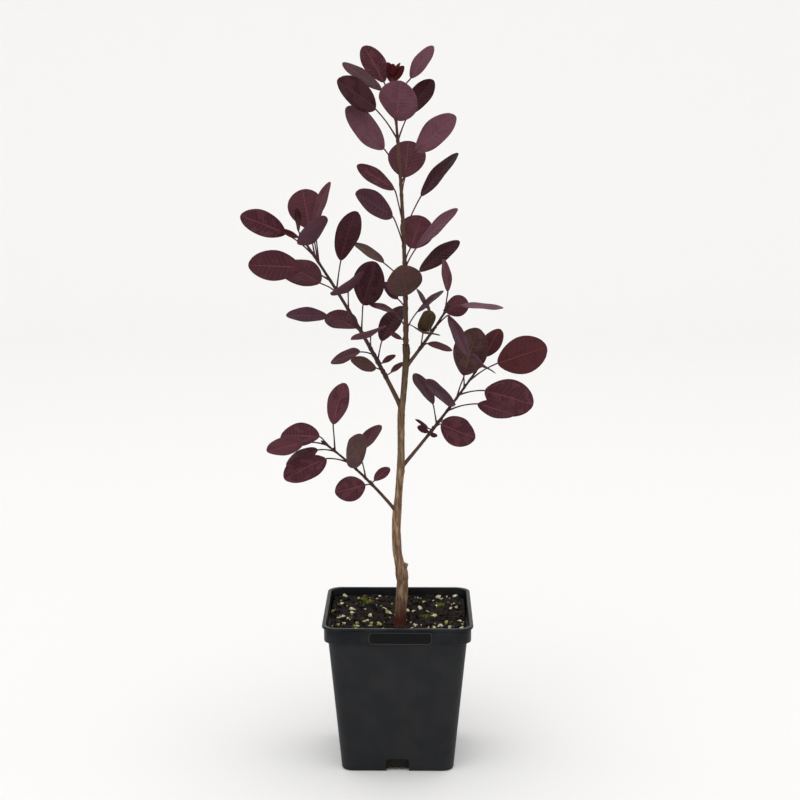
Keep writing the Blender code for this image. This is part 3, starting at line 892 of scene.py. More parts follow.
@dataclass
class Pot:
    """The pot: a rounded square drawn up along its profile, with drain slots and a bare label plate."""

    # (half-width, height) in millimetres: up the outside, over the lip and down the inside.
    profile: tuple[tuple[float, float], ...] = (
        (37.0, 0),
        (37.5, 0.12),
        (38.0, 0.5),
        (38.4, 1.4),
        (46.9, 93.0),
        (49.05, 93.6),
        (49.5, 93.9),
        (49.65, 94.4),
        (49.7, 102.6),
        (50.3, 103.0),
        (50.85, 103.4),
        (51.0, 103.9),
        (51.0, 104.5),
        (50.8, 104.9),
        (50.4, 105.0),
        (48.85, 105.0),
        (48.5, 104.8),
        (48.35, 104.2),
        (48.15, 95.1),
        (45.6, 93.6),
        (37.3, 1.8),
    )
    corner_share: float = 0.195
    corner_segments: int = 12
    smooth_angle: float = 32
    slot_width: float = 15.5 * MM
    slot_height: float = 9 * MM
    slot_end: float = 29.4 * MM  # from the middle of the pot
    slot_rounding: float = 2.2 * MM
    slot_segments: int = 4
    cutter_end: float = 60 * MM  # well outside the wall
    cutter_drop: float = 5 * MM  # below the foot
    label_centre: tuple[float, float, float] = (1.9 * MM, -49.66 * MM, 98.2 * MM)
    label_size: tuple[float, float] = (42.4 * MM, 8.2 * MM)
    label_corner: float = 2.6 * MM
    label_segments: int = 6
    label_rim: float = 0.45 * MM
    label_rise: float = 0.5 * MM
    plate_sink: float = 0.25 * MM

    def build(self) -> Object:
        """Builds the pot in place of its CAD node.

        Returns:
            The pot.
        """
        pot = self.draw_body()
        self.cut_slots(pot)
        label = self.draw_label()
        bpy.ops.object.select_all(action="DESELECT")
        label.select_set(True)
        pot.select_set(True)
        bpy.context.view_layer.objects.active = pot
        bpy.ops.object.join()
        bpy.ops.object.shade_smooth_by_angle(angle=math.radians(self.smooth_angle))
        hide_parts("pot")
        return placed(pot)

    def draw_body(self) -> Object:
        """Draws the rounded square up along the profile.

        Returns:
            The pot, still without slots and label.
        """
        half, height = self.profile[0]
        pot = fresh(bpy.ops.mesh.primitive_plane_add, size=2 * half * MM)
        pot.name = "moulded_pot"
        pot.data.materials.append(POT_PLASTIC.material())
        bpy.ops.object.mode_set(mode="EDIT")
        bpy.ops.mesh.select_all(action="SELECT")
        corner = self.corner_share * half * MM
        bpy.ops.mesh.bevel(offset=corner, segments=self.corner_segments, affect="VERTICES")
        for next_half, next_height in self.profile[1:]:
            rise = {"value": (0, 0, (next_height - height) * MM)}
            bpy.ops.mesh.extrude_region_move(TRANSFORM_OT_translate=rise)
            grown = next_half / half
            bpy.ops.transform.resize(value=(grown, grown, 1), center_override=(0, 0, 0))
            half, height = next_half, next_height
        bpy.ops.mesh.select_all(action="SELECT")
        bpy.ops.mesh.normals_make_consistent(inside=False)
        bpy.ops.object.mode_set(mode="OBJECT")
        return pot

    def cut_slots(self, pot: Object) -> None:
        """Cuts a drain slot through the foot of each wall.

        Args:
            pot: the pot.
        """
        size = (self.slot_width, self.cutter_end - self.slot_end, self.slot_height + self.cutter_drop)
        shift = (0, -(self.cutter_end + self.slot_end) / 2, (self.slot_height - self.cutter_drop) / 2)
        for side in range(4):
            cutter = fresh(bpy.ops.mesh.primitive_cube_add, size=1)
            bpy.ops.object.mode_set(mode="EDIT")
            bpy.ops.transform.resize(value=size, center_override=(0, 0, 0))
            bpy.ops.transform.translate(value=shift)
            bpy.ops.mesh.bevel(offset=self.slot_rounding, segments=self.slot_segments)
            turn = math.radians(90 * side)
            bpy.ops.transform.rotate(value=turn, orient_axis="Z", center_override=(0, 0, 0))
            bpy.ops.object.mode_set(mode="OBJECT")
            bpy.ops.object.select_all(action="DESELECT")
            bpy.context.view_layer.objects.active = pot
            pot.select_set(True)
            cut = pot.modifiers.new("drain_slot", "BOOLEAN")
            cut.object = cutter
            cut.solver = "EXACT"
            bpy.ops.object.modifier_apply(modifier=cut.name)
            bpy.data.objects.remove(cutter)

    def draw_label(self) -> Object:
        """Draws the bare label plate, a rounded oblong with a thin raised rim.

        Returns:
            The label.
        """
        label = fresh(bpy.ops.mesh.primitive_plane_add, size=1)
        for finish in (LABEL_RIM, LABEL_PLATE):
            label.data.materials.append(finish.material())
        bpy.ops.object.mode_set(mode="EDIT")
        bpy.ops.mesh.select_all(action="SELECT")
        bpy.ops.transform.resize(value=(*self.label_size, 1), center_override=(0, 0, 0))
        bpy.ops.mesh.bevel(offset=self.label_corner, segments=self.label_segments, affect="VERTICES")
        bpy.ops.transform.rotate(value=math.radians(-90), orient_axis="X", center_override=(0, 0, 0))
        bpy.ops.transform.translate(value=self.label_centre)
        bpy.ops.transform.translate(value=(0, self.label_rise, 0))
        bpy.ops.mesh.extrude_region_move(TRANSFORM_OT_translate={"value": (0, -2 * self.label_rise, 0)})
        bpy.ops.mesh.inset(thickness=self.label_rim)
        label.active_material_index = 1
        bpy.ops.object.material_slot_assign()
        bpy.ops.mesh.extrude_region_move(TRANSFORM_OT_translate={"value": (0, self.plate_sink, 0)})
        bpy.ops.mesh.select_all(action="SELECT")
        bpy.ops.mesh.normals_make_consistent(inside=False)
        bpy.ops.object.mode_set(mode="OBJECT")
        return label


@dataclass(frozen=True)
class Litter:
    """One kind of small body that lies on the mix. Its places and radii are in millimetres."""

    name: str
    count: int  # of those that lie at random
    sizes: tuple[float, float]
    finishes: tuple[Finish, ...]
    crumple: float
    subdivisions: int = 0  # of a round one; a flat chip has none
    shown: tuple[tuple[float, float], ...] = ()  # where the photograph shows one

    def template(self) -> Grain:
        """The body that its copies are crumpled from.

        Returns:
            A round grain or a flat chip.
        """
        if self.subdivisions:
            return Grain.round_one(self.subdivisions, self.crumple)
        return Grain.flake(self.crumple)


# (x, y) in millimetres of the white grains that show most.
GRAIN_PLACES = (
    (6.7, 22.2),
    (15.3, 24.7),
    (20.2, 19.9),
    (-10.4, 24.5),
    (-46.3, 16.9),
    (-38.8, 7.4),
    (25.8, 12.8),
    (40.7, 45.3),
    (34.0, -3.7),
    (35.2, -12.9),
    (-23.9, 0.4),
    (-6.0, 17.3),
    (-16.9, 29.4),
    (-39.0, 44.6),
    (-28.6, -4.3),
    (-10.3, -17.9),
)
CHIP_PLACES = ((-16.1, -4.2), (22, -20), (-31, -22), (12, 36))
PALE = (PERLITE, PERLITE, ALGAE_GRAIN)
BROWNS = (CHIP, DARK_CHIP, DARK_CHIP, DARK_CHIP)


@dataclass
class PottingMix:
    """The potting mix, dished towards the trunk, and the grains, chips and moss on it."""

    half: float = 46.9 * MM
    corner: float = 8.4 * MM
    corner_easing: float = 20 * MM  # how much rounder the corners are towards the middle
    edge_height: float = 95.6 * MM
    centre_height: float = 91.7 * MM
    dish_power: float = 0.8
    back_rise: float = 4 * MM  # it is heaped towards the back wall
    back_start: float = 8 * MM
    back_slope: float = 34 * MM
    lump_size: float = 11 * MM
    lump_rise: float = 1.2 * MM
    # (size, rise, shift of the noise) of its coarse and fine crumbs.
    crumbs: tuple[tuple[float, float, float], ...] = ((3.4 * MM, 0.9 * MM, 0), (1.3 * MM, 0.45 * MM, 5))
    divisions: int = 150
    smooth_angle: float = 50
    shoulder_drop: float = 3.2 * MM
    shoulder_share: float = 0.955  # of the top's width, where the sides leave the top's edge
    foot_half: float = 36.9 * MM
    foot_height: float = 2.2 * MM
    wall_gap: float = 1.5  # millimetres that the litter keeps from the mix's edge
    trunk_gap: float = 6  # millimetres that it keeps from the trunk's axis
    corner_gap: float = 1.85  # the most that |x| + |y| is, for each unit of the half-width
    litter_levels: tuple[float, float] = (-0.1, 0.45)  # of its radius, above the mix
    litter_tilt: float = 0.6  # radians
    litter_widths: tuple[float, float] = (0.7, 1)  # of its length
    litter_heights: tuple[float, float] = (0.6, 0.9)
    seeds: float = 50  # the range of the crumpling's seeds
    litter: tuple[Litter, ...] = (
        Litter("peat_lumps", 420, (0.7, 2.2), (LUMP, DARK_CHIP), 0.9, 2),
        Litter("perlite_grains", 46, (1.0, 2.0), PALE, 0.7, 3, GRAIN_PLACES),
        Litter("fine_grit", 170, (0.3, 0.9), (*PALE, CREAM_GRAIN), 0.7, 2),
        Litter("bark_chips", 110, (0.9, 2.8), BROWNS, 0.5, shown=CHIP_PLACES),
    )
    moss_places: tuple[tuple[float, float], ...] = (
        (-25.8, 39.2),
        (-22.0, 34.5),
        (18.8, 12.7),
        (23.0, 15.5),
        (-27.6, -13.5),
        (30.0, 31.0),
    )
    moss_count: int = 60  # in a tuft
    # How far moss spreads in x and y, rises, and leans to each side, in millimetres.
    moss_spread: tuple[float, float] = (1.7, 1.2)
    moss_rise: tuple[float, float] = (1.0, 2.0)
    moss_lean: float = 0.6
    moss_sink: float = 0.3 * MM
    moss_sides: int = 5
    moss_radii: tuple[float, float, float] = (0.22 * MM, 0.25 * MM, 0.03 * MM)

    def height(self, x: float, y: float) -> float:
        """The height of the mix at a place, without its crumbs.

        Args:
            x: the place, in metres.
            y: the place, in metres.

        Returns:
            The height in metres.
        """
        share = min(max(abs(x - TRUNK_FOOT_X * MM), abs(y)) / self.half, 1)
        lumpy = self.lump_rise * noise.noise(Vector((x, y, 0)) / self.lump_size)
        dish = (self.edge_height - self.centre_height) * share**self.dish_power
        back = self.back_rise * min(max((y - self.back_start) / self.back_slope, 0), 1)
        return self.centre_height + dish + back + lumpy * share

    def on_square(self, x: float, y: float) -> Vector:
        """A place of the grid moved in, so that the square's corners are round.

        Args:
            x: the place, in metres.
            y: the place, in metres.

        Returns:
            The new place.
        """
        share = max(abs(x), abs(y)) / self.half
        rounded = min(self.corner + (1 - share) * self.corner_easing, self.half * share)
        core = self.half * share - rounded
        out = Vector((abs(x) - core, abs(y) - core))
        if out.x > 0 and out.y > 0:
            out = out.normalized() * rounded
            x, y = math.copysign(core + out.x, x), math.copysign(core + out.y, y)
        return Vector((x, y, 0))

    def build(self) -> list[Object]:
        """Builds the mix in place of its CAD node, and what lies on it.

        Returns:
            The mix, the litter and the moss.
        """
        count = {"x_subdivisions": self.divisions, "y_subdivisions": self.divisions}
        mix = fresh(bpy.ops.mesh.primitive_grid_add, size=2 * self.half, **count)
        mix.name = "peat_mix"
        for vertex in mix.data.vertices:
            place = self.on_square(vertex.co.x, vertex.co.y)
            level = self.height(place.x, place.y)
            for size, rise, shift in self.crumbs:
                level += noise.noise(place / size + Vector((shift, shift, shift))) * rise
            vertex.co = (place.x, place.y, level)
        bpy.ops.object.mode_set(mode="EDIT")
        bpy.ops.mesh.select_all(action="DESELECT")
        bpy.ops.mesh.select_mode(type="EDGE")
        bpy.ops.mesh.select_non_manifold()
        share = self.shoulder_share
        bpy.ops.mesh.extrude_edges_move(TRANSFORM_OT_translate={"value": (0, 0, -self.shoulder_drop)})
        bpy.ops.transform.resize(value=(share, share, 1), center_override=(0, 0, 0))
        share = self.foot_half / (self.half * self.shoulder_share)
        bpy.ops.mesh.extrude_edges_move(TRANSFORM_OT_translate={"value": (0, 0, self.foot_height)})
        bpy.ops.transform.resize(value=(share, share, 0), center_override=(0, 0, self.foot_height))
        bpy.ops.mesh.edge_face_add()
        bpy.ops.mesh.select_all(action="SELECT")
        bpy.ops.mesh.normals_make_consistent(inside=False)
        bpy.ops.object.mode_set(mode="OBJECT")
        bpy.ops.object.shade_smooth_by_angle(angle=math.radians(self.smooth_angle))
        mix.data.materials.append(PEAT.material())
        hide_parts("potting_mix")
        draw = random.Random("potting mix")
        strewn = [self.strew(draw, kind) for kind in self.litter]
        return [placed(mix), *strewn, self.build_moss(draw)]

    def strew(self, draw: random.Random, kind: Litter) -> Object:
        """Strews one kind of litter over the mix, clear of the pot's wall and of the trunk's foot.

        Args:
            draw: the random numbers.
            kind: the litter.

        Returns:
            The piece.
        """
        reach = self.half / MM - self.wall_gap
        places = list(kind.shown)
        while len(places) < len(kind.shown) + kind.count:
            x, y = draw.uniform(-reach, reach), draw.uniform(-reach, reach)
            clear = math.hypot(x - TRUNK_FOOT_X, y) > self.trunk_gap
            if clear and abs(x) + abs(y) < self.corner_gap * reach:
                places.append((x, y))
        surface = Surface()
        template = kind.template()
        for x, y in places:
            size = draw.uniform(*kind.sizes) * MM
            level = self.height(x * MM, y * MM) + size * draw.uniform(*self.litter_levels)
            lying = Vector((x * MM, y * MM, level))
            tilt = Matrix.Rotation(draw.uniform(-self.litter_tilt, self.litter_tilt), 4, "X")
            tilt = tilt @ Matrix.Rotation(draw.uniform(0, math.tau), 4, "Z")
            wide, high = size * draw.uniform(*self.litter_widths), size * draw.uniform(*self.litter_heights)
            placing = Matrix.Translation(lying) @ tilt @ Matrix.Diagonal((size, wide, high, 1))
            surface.add_copy(template, placing, draw.choice(kind.finishes), draw.random() * self.seeds)
        return surface.make_piece(kind.name, False)

    def build_moss(self, draw: random.Random) -> Object:
        """Builds tufts of tiny pointed moss blades.

        Args:
            draw: the random numbers.

        Returns:
            The moss.
        """
        surface = Surface()
        lean = self.moss_lean
        for x, y in self.moss_places:
            for _ in range(self.moss_count):
                px, py = x + draw.gauss(0, self.moss_spread[0]), y + draw.gauss(0, self.moss_spread[1])
                foot = Vector((px * MM, py * MM, self.height(px * MM, py * MM) - self.moss_sink))
                way = (draw.uniform(-lean, lean), draw.uniform(-lean, lean), draw.uniform(*self.moss_rise))
                tip = foot + Vector(way) * MM
                rings = tube_rings([foot, (foot + tip) / 2, tip], self.moss_radii, self.moss_sides)
                surface.add_tube(rings, MOSS)
        return surface.make_piece("moss_tufts")


@dataclass
class Stem:
    """A shoot's round stem, swollen at its root and where its leaves start."""

    shoot: Shoot
    sides: int = 20
    spacing: float = 0.9 * MM
    root_swelling: float = 0.45  # of its radius
    root_reach: float = 3.2 * MM
    node_swelling: float = 0.2
    node_reach: float = 1.1 * MM
    most_swelling: float = 0.5
    grain_size: float = 1.6 * MM
    grain_rise: float = 0.07 * MM

    def rings(self, first: float, last: float) -> list[list[Vector]]:
        """The rings of one stretch of it.

        Args:
            first: how far along the shoot the stretch starts.
            last: how far along it the stretch ends.

        Returns:
            The rings.
        """
        shoot = self.shoot
        count = max(4, math.ceil((last - first) / self.spacing))
        stations = [first + (last - first) * i / count for i in range(count + 1)]
        places = [shoot.point(along) for along in stations]
        radii = []
        for along in stations:
            start = max(along, 0)
            swelling = self.root_swelling * math.exp(-start / self.root_reach) if shoot.bare else 0.0
            for leaf in shoot.leaves:
                swelling += self.node_swelling * math.exp(-(((along - leaf.at * MM) / self.node_reach) ** 2))
            radii.append(shoot.radius(start) * (1 + min(swelling, self.most_swelling)))
        rings = tube_rings(places, radii, self.sides)
        roughened(rings, places, self.grain_size, self.grain_rise)
        return rings


@dataclass
class Trunk:
    """The trunk with its bark's relief and pruned stub, and the leafless starts of the side shoots."""

    sides: int = 52
    steps: int = 15  # rings between two rows of the trunk
    # (rise in metres, fineness round the trunk, length up it in millimetres) of streaks and cracks.
    streaks: tuple[float, float, float] = (0.27 * MM, 3.2, 13)
    cracks: tuple[float, float, float] = (0.15 * MM, 9, 2.6)
    flare: float = 0.56 * MM
    flare_height: float = 8  # millimetres above the mix, where the root flare ends
    flare_fineness: float = 1.6
    ring_scars: tuple[float, ...] = (121.5, 125.8, 133.0, 201.5, 206.0, 241.0, 245.5, 283.5, 287.0)
    scar_rise: float = 0.14 * MM
    scar_half: float = 0.45  # millimetres
    scar_fineness: float = 2
    lenticels: int = 90
    lenticel_rise: float = 0.13 * MM
    lenticel_half: float = 0.5  # millimetres
    lenticel_turn: float = 0.16  # radians to each side
    stub_height: float = 128.5
    stub_length: float = 8.5 * MM
    stub_radius: float = 1.9 * MM
    stub_swelling: float = 1.15  # of its radius, at the trunk
    stub_taper: float = 0.3  # of its radius, lost over its length
    stub_rim: float = 0.12  # of its radius, that the rim at its end adds
    stub_rim_start: float = 0.85  # of its length
    stub_lean: float = 70
    stub_steps: int = 12
    stub_sides: int = 24
    stub_grain: float = 1.2 * MM
    bough_overlap: float = 0.6 * MM  # that a bough runs on into its leafy stem

    def build(self) -> list[Object]:
        """Builds the trunk and the boughs in place of their CAD nodes.

        Returns:
            The trunk and the boughs.
        """
        draw = random.Random("lenticels")
        low, high = TRUNK_FOOT + self.flare_height, TRUNK[-1][0]
        spots = [(draw.uniform(0, math.tau), draw.uniform(low, high)) for _ in range(self.lenticels)]
        surface = Surface()
        rings = []
        for height, x, y, radius in smoothed(TRUNK, self.steps):
            ring = []
            near = [turn for turn, at in spots if abs(at - height) < self.lenticel_half]
            for j in range(self.sides):
                turn = math.tau * j / self.sides
                out = Vector((math.cos(turn), math.sin(turn), 0))
                grown = radius * MM + self.relief(out, turn, height, near)
                ring.append(Vector((x, y, height)) * MM + out * grown)
            rings.append(ring)
        surface.add_tube(rings, BARK)
        self.add_stub(surface)
        trunk = surface.make_piece("barked_trunk")
        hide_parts("trunk")
        boughs = Surface()
        side_shoots = [shoot for shoot in SHOOTS if shoot.bare]
        for shoot in side_shoots:
            boughs.add_tube(Stem(shoot).rings(0.0, shoot.bare * MM + self.bough_overlap), LEADER_BARK)
        limbs = boughs.make_piece("leafless_boughs")
        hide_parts(*(f"{shoot.name}_bough" for shoot in side_shoots))
        return [trunk, limbs]

    def relief(self, out: Vector, turn: float, height: float, near: Sequence[float]) -> float:
        """How far the bark stands out at a place.

        Args:
            out: the way out from the trunk's axis.
            turn: its angle, in radians.
            height: in millimetres.
            near: the angles of the lenticels at this height.

        Returns:
            The rise of the bark, in metres.
        """
        streak, streak_fineness, streak_length = self.streaks
        crack, crack_fineness, crack_length = self.cracks
        rise = noise.noise(out * streak_fineness + Vector((0, 0, height / streak_length))) * streak
        rise += noise.noise(out * crack_fineness + Vector((3, 7, height / crack_length))) * crack
        scar = max(math.exp(-(((height - at) / self.scar_half) ** 2)) for at in self.ring_scars)
        rise += scar * self.scar_rise * (1 + noise.noise(out * self.scar_fineness + Vector((height, 0, 0))))
        flared = max(0, (TRUNK_FOOT + self.flare_height - height) / self.flare_height) ** 2
        rise += self.flare * flared * (0.5 + noise.noise(out * self.flare_fineness))
        if any(abs(math.remainder(turn - at, math.tau)) < self.lenticel_turn for at in near):
            rise += self.lenticel_rise
        return rise

    def add_stub(self, surface: Surface) -> None:
        """Adds the stub of a pruned shoot, which narrows to a rim round its pale cut end.

        Args:
            surface: the trunk's surface.
        """
        x, y = next((row[1], row[2]) for row in TRUNK if row[0] == self.stub_height)
        start, way = Vector((x, y, self.stub_height)) * MM, heading(self.stub_lean, 0)
        shares = [i / self.stub_steps for i in range(self.stub_steps + 1)]
        places = [start + way * self.stub_length * s for s in shares]
        sizes = [self.stub_swelling - self.stub_taper * s for s in shares]
        rims = [self.stub_rim if self.stub_rim_start < s < 1 else 0 for s in shares]
        radii = [self.stub_radius * (size + rim) for size, rim in zip(sizes, rims)]
        rings = tube_rings(places, radii, self.stub_sides)
        roughened(rings, places, self.stub_grain, self.cracks[0])
        surface.add_tube(rings, BARK, CUT_WOOD)


@dataclass
class Twigs:
    """A shoot's leafy stem, its leaf stalks and its buds."""

    shoot: Shoot
    bough_overlap: float = 1 * MM  # that a side shoot's leafy stem starts inside its bough
    collar_overlap: float = 3 * MM  # that the leader starts inside the trunk
    stalk_radius: float = 0.55 * MM
    stalk_arch: float = 0.05
    stalk_in_blade: float = 0.2
    # The stalk's thickness at the stem, half-way, at the blade's foot and inside the blade.
    stalk_taper: tuple[float, float, float, float] = (1.3, 0.85, 0.9, 0.5)
    stalk_sides: int = 10
    stalk_steps: int = 9
    bud_half: float = 1.3 * MM  # of its length
    bud_width: float = 0.42  # for its length
    bud_crumple: float = 0.1
    bud_rise: float = 1.4 * MM  # above its stalk's start
    bud_out: float = 0.9  # of the stem's radius, from its axis
    bud_lean: float = 0.5
    tip_bud: float = 1.6  # how much larger the last bud is
    # (lean, swing) of the old bud scales that stand round the collar, where the leader starts.
    collar_scales: tuple[tuple[float, float], ...] = ((150, -20), (32, -30), (100, -60), (60, 40), (125, 35))

    def build(self) -> Object:
        """Builds the stem, stalks and buds as one piece.

        Returns:
            The piece.
        """
        shoot = self.shoot
        surface = Surface()
        first = shoot.bare * MM - self.bough_overlap if shoot.bare else -self.collar_overlap
        skin = SHOOT_BARK if shoot.bare else LEADER_BARK
        surface.add_tube(Stem(shoot).rings(first, shoot.length * MM), skin)
        bud = Grain.round_one(2, self.bud_crumple)
        for blade in shoot.blades():
            self.add_stalk(surface, blade)
            at = blade.leaf.at * MM
            way, stalk = shoot.way(blade.leaf.at / shoot.length), heading(*blade.leaf.stalk[:2])
            side = (stalk - way * stalk.dot(way)).normalized()
            out = blade.stalk_start + side * shoot.radius(at) * self.bud_out + way * self.bud_rise
            self.add_bud(surface, bud, out, (way + side * self.bud_lean).normalized(), self.bud_half)
        if not shoot.bare:
            for lean, swing in self.collar_scales:
                out = heading(lean, swing)
                rim = Vector((out.x, out.y, 0)).normalized() * shoot.radius(0)
                self.add_bud(surface, bud, shoot.point(0) + rim, out, self.bud_half)
        tip = shoot.point(shoot.length * MM)
        self.add_bud(surface, bud, tip, shoot.way(1), self.tip_bud * self.bud_half)
        return surface.make_piece(f"{shoot.name}_twigs")

    def add_stalk(self, surface: Surface, blade: Blade) -> None:
        """Adds a leaf's stalk: out of the stem, a little arched, and on into the blade.

        Args:
            surface: the twigs' surface.
            blade: the leaf's blade.
        """
        start, foot = blade.stalk_start, blade.foot
        middle = (start + foot) / 2 + Vector((0, 0, self.stalk_arch * (foot - start).length))
        places = (start, middle, foot, blade.point(self.stalk_in_blade, 0)[0])
        rows = [(*place, self.stalk_radius * size) for place, size in zip(places, self.stalk_taper)]
        path = smoothed(rows, self.stalk_steps)
        rings = tube_rings([Vector(row[:3]) for row in path], [row[3] for row in path], self.stalk_sides)
        surface.add_tube(rings, STALK_SKIN)

    def add_bud(self, surface: Surface, bud: Grain, place: Vector, way: Vector, half: float) -> None:
        """Adds a pointed bud.

        Args:
            surface: the twigs' surface.
            bud: the body that it is crumpled from.
            place: its middle.
            way: the direction that it stands along.
            half: half its length, in metres.
        """
        turned = way.to_track_quat("Z", "Y").to_matrix().to_4x4()
        scale = Matrix.Diagonal((half * self.bud_width, half * self.bud_width, half, 1))
        surface.add_copy(bud, Matrix.Translation(place) @ turned @ scale, BUD_SCALE, half)


class Row(Enum):
    """The kinds of a blade's cross rows, between which its surface rises and sinks."""

    VEIN = "on a side vein"
    QUILT = "midway between two side veins"
    PLAIN = "elsewhere"


@dataclass
class Foliage:
    """A shoot's leaf blades, each with a midrib that stands out, sunk side veins and a quilted surface."""

    shoot: Shoot
    roughness: float = 0.5
    back_roughness: float = 0.7
    specular: float = 0.11
    back_specular: float = 0.055
    thickness: float = 0.34 * MM
    edge_thinning: float = 0.28  # of the thickness, on each side
    vein_pairs: int = 10
    vein_half: float = 0.17 * MM
    vein_sink: float = 0.08 * MM
    vein_start: float = 0.062  # a share of the length
    vein_span: float = 0.9
    quilt: float = 0.15 * MM
    back_depth: float = 1.4  # how much more the underside moves with the veins and the quilt
    foot_rows: tuple[float, ...] = (0.0, 0.012, 0.03)
    tip_rows: tuple[float, ...] = (0.965, 0.985, 1.0)
    rib_half: tuple[float, float] = (0.55 * MM, 0.16 * MM)  # at the foot and at the tip
    rib_most: float = 0.4  # of the half-width
    rib_crest: float = 0.1 * MM  # that the midrib stands up, at the foot
    rib_keel: float = 0.34 * MM  # that it stands out below, at the foot
    rib_taper: float = 0.8  # of the keel, lost towards the tip
    rib_end: float = 0.93  # of the length, where its colour ends
    slant: float = 0.15  # of the length, that a side vein rises to the edge half-way up the blade
    wave: float = 0.013  # of the length, that the edge waves
    waves: float = 9  # radians from foot to tip
    edge_fade: float = 5  # veins and quilt fade in the last fifth of the half-width
    columns: tuple[float, ...] = (0.1, 0.23, 0.38, 0.54, 0.7, 0.84, 0.94, 1.0)
    # The steps along, across and from leaf to leaf in the noise that parts the blade's two shades.
    patch_steps: tuple[float, float, float] = (5, 0.35, 9)
    patch_level: float = 0.16

    def build(self) -> Object:
        """Builds the blades as one piece, which with the twigs stands for the shoot's CAD mass.

        Returns:
            The piece.
        """
        surface = Surface()
        for index, blade in enumerate(self.shoot.blades()):
            self.add_blade(surface, random.Random(f"{self.shoot.name} {index} blade"), blade)
        blades = surface.make_piece(f"{self.shoot.name}_blades")
        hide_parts(f"{self.shoot.name}_leaves")
        return blades

    def rows(self, length: float) -> list[tuple[float, Row]]:
        """The cross rows of a blade.

        Args:
            length: the blade's, in metres.

        Returns:
            (share of the length, kind) of each row.
        """
        half = self.vein_half / length
        rows = [(share, Row.PLAIN) for share in self.foot_rows]
        step = self.vein_span / self.vein_pairs
        for k in range(self.vein_pairs):
            at = self.vein_start + step * k
            rows += [(at - half, Row.PLAIN), (at, Row.VEIN), (at + half, Row.PLAIN)]
            if k < self.vein_pairs - 1:
                rows.append((at + step / 2, Row.QUILT))
        return rows + [(share, Row.PLAIN) for share in self.tip_rows]

    def add_blade(self, surface: Surface, draw: random.Random, blade: Blade) -> None:
        """Adds a blade: its upper side, its underside and the rim between them.

        Args:
            surface: the blades' surface.
            draw: the blade's own random numbers.
            blade: the blade.
        """
        shades = blade.leaf.tint.value
        kind = blade.leaf.tint.name.lower()
        skins = []
        for shade in draw.sample(shades.blade, 2):
            name = f"{kind}_leaf_skin_{shades.blade.index(shade) + 1}"
            skins.append(Finish(name, shade, self.roughness, self.specular))
        rib = Finish(f"{kind}_leaf_midrib", shades.rib, self.roughness, self.specular)
        vein = Finish(f"{kind}_leaf_veins", shades.vein, self.roughness, self.specular)
        back = Finish(f"{kind}_leaf_underside", shades.back, self.back_roughness, self.back_specular)
        phase = draw.uniform(0, math.tau)
        rows = self.rows(blade.length)
        span = len(self.columns) + 1
        count = 2 * span + 1
        first = len(surface.points)
        under = len(rows) * count
        points = [self.pair(blade, phase, row, column) for row in rows for column in range(-span, span + 1)]
        for side in zip(*points):
            surface.points.extend(side)
        along, across, between = self.patch_steps
        for i, (low, high) in enumerate(zip(rows, rows[1:])):
            on_vein = Row.VEIN in (low[1], high[1])
            for j in range(count - 1):
                out = abs(j + 0.5 - span)
                a, b = first + i * count + j, first + (i + 1) * count + j
                spot = Vector((low[0] * along, j * across, phase * between))
                top = vein if on_vein and out < span - 2 else skins[noise.noise(spot) > self.patch_level]
                if out < 1 and low[0] < self.rib_end:
                    top = rib
                surface.add_face((a, a + 1, b + 1, b), top)
                surface.add_face((a + under, b + under, b + under + 1, a + under + 1), back)
            for j in (0, count - 1):
                a, b = first + i * count + j, first + (i + 1) * count + j
                surface.add_face((a, b, b + under, a + under), skins[0])

    def pair(self, blade: Blade, phase: float, row: tuple[float, Row], column: int) -> tuple[Vector, Vector]:
        """The points of a blade's upper side and underside where a row and a column cross.

        Args:
            blade: the blade.
            phase: where its waves start, in radians.
            row: (share of the length, kind) of the row.
            column: the column's number, with 0 on the midrib.

        Returns:
            (upper point, lower point).
        """
        s, kind = row
        rib_half = self.rib_half[0] + (self.rib_half[1] - self.rib_half[0]) * s
        middle = min(self.rib_most, rib_half / max(blade.reach(s), 1e-6))
        size = abs(column)
        v = middle * min(size, 1)
        if size > 1:
            v += (1 - middle) * self.columns[size - 2]
        u = min(s + self.slant * v * math.sin(math.pi * s), 1.0)
        place, normal = blade.point(u, math.copysign(v, column))
        ripple = math.sin(math.pi * u) * math.sin(self.waves * u + phase + (column > 0))
        waving = self.wave * blade.length * v * v * ripple
        fade = min(1.0, (1 - v) * self.edge_fade) * math.sin(math.pi * s)
        lift = {Row.VEIN: -self.vein_sink, Row.PLAIN: 0.0, Row.QUILT: self.quilt}[kind] * fade
        over = self.thickness * (0.5 - self.edge_thinning * v**6)
        beneath = over - lift * self.back_depth
        over += lift
        if not size:
            over += self.rib_crest * (1 - s)
            beneath += self.rib_keel * (1 - self.rib_taper * s)
        return place + normal * (over + waving), place + normal * (waving - beneath)


@dataclass(frozen=True)
class SoftLight:
    """A square soft light that faces the plant's middle."""

    name: str
    place: tuple[float, float, float]
    size: float
    power: float
    aim: tuple[float, float, float] = (0, 0, 0.25)

    def build(self) -> None:
        """Adds the light."""
        light = bpy.data.lights.new(self.name, "AREA")
        light.size, light.energy = self.size, self.power
        lamp = bpy.data.objects.new(self.name, light)
        lamp.location = self.place
        lamp.rotation_euler = (Vector(self.aim) - Vector(self.place)).to_track_quat("-Z", "Y").to_euler()
        bpy.context.scene.collection.objects.link(lamp)


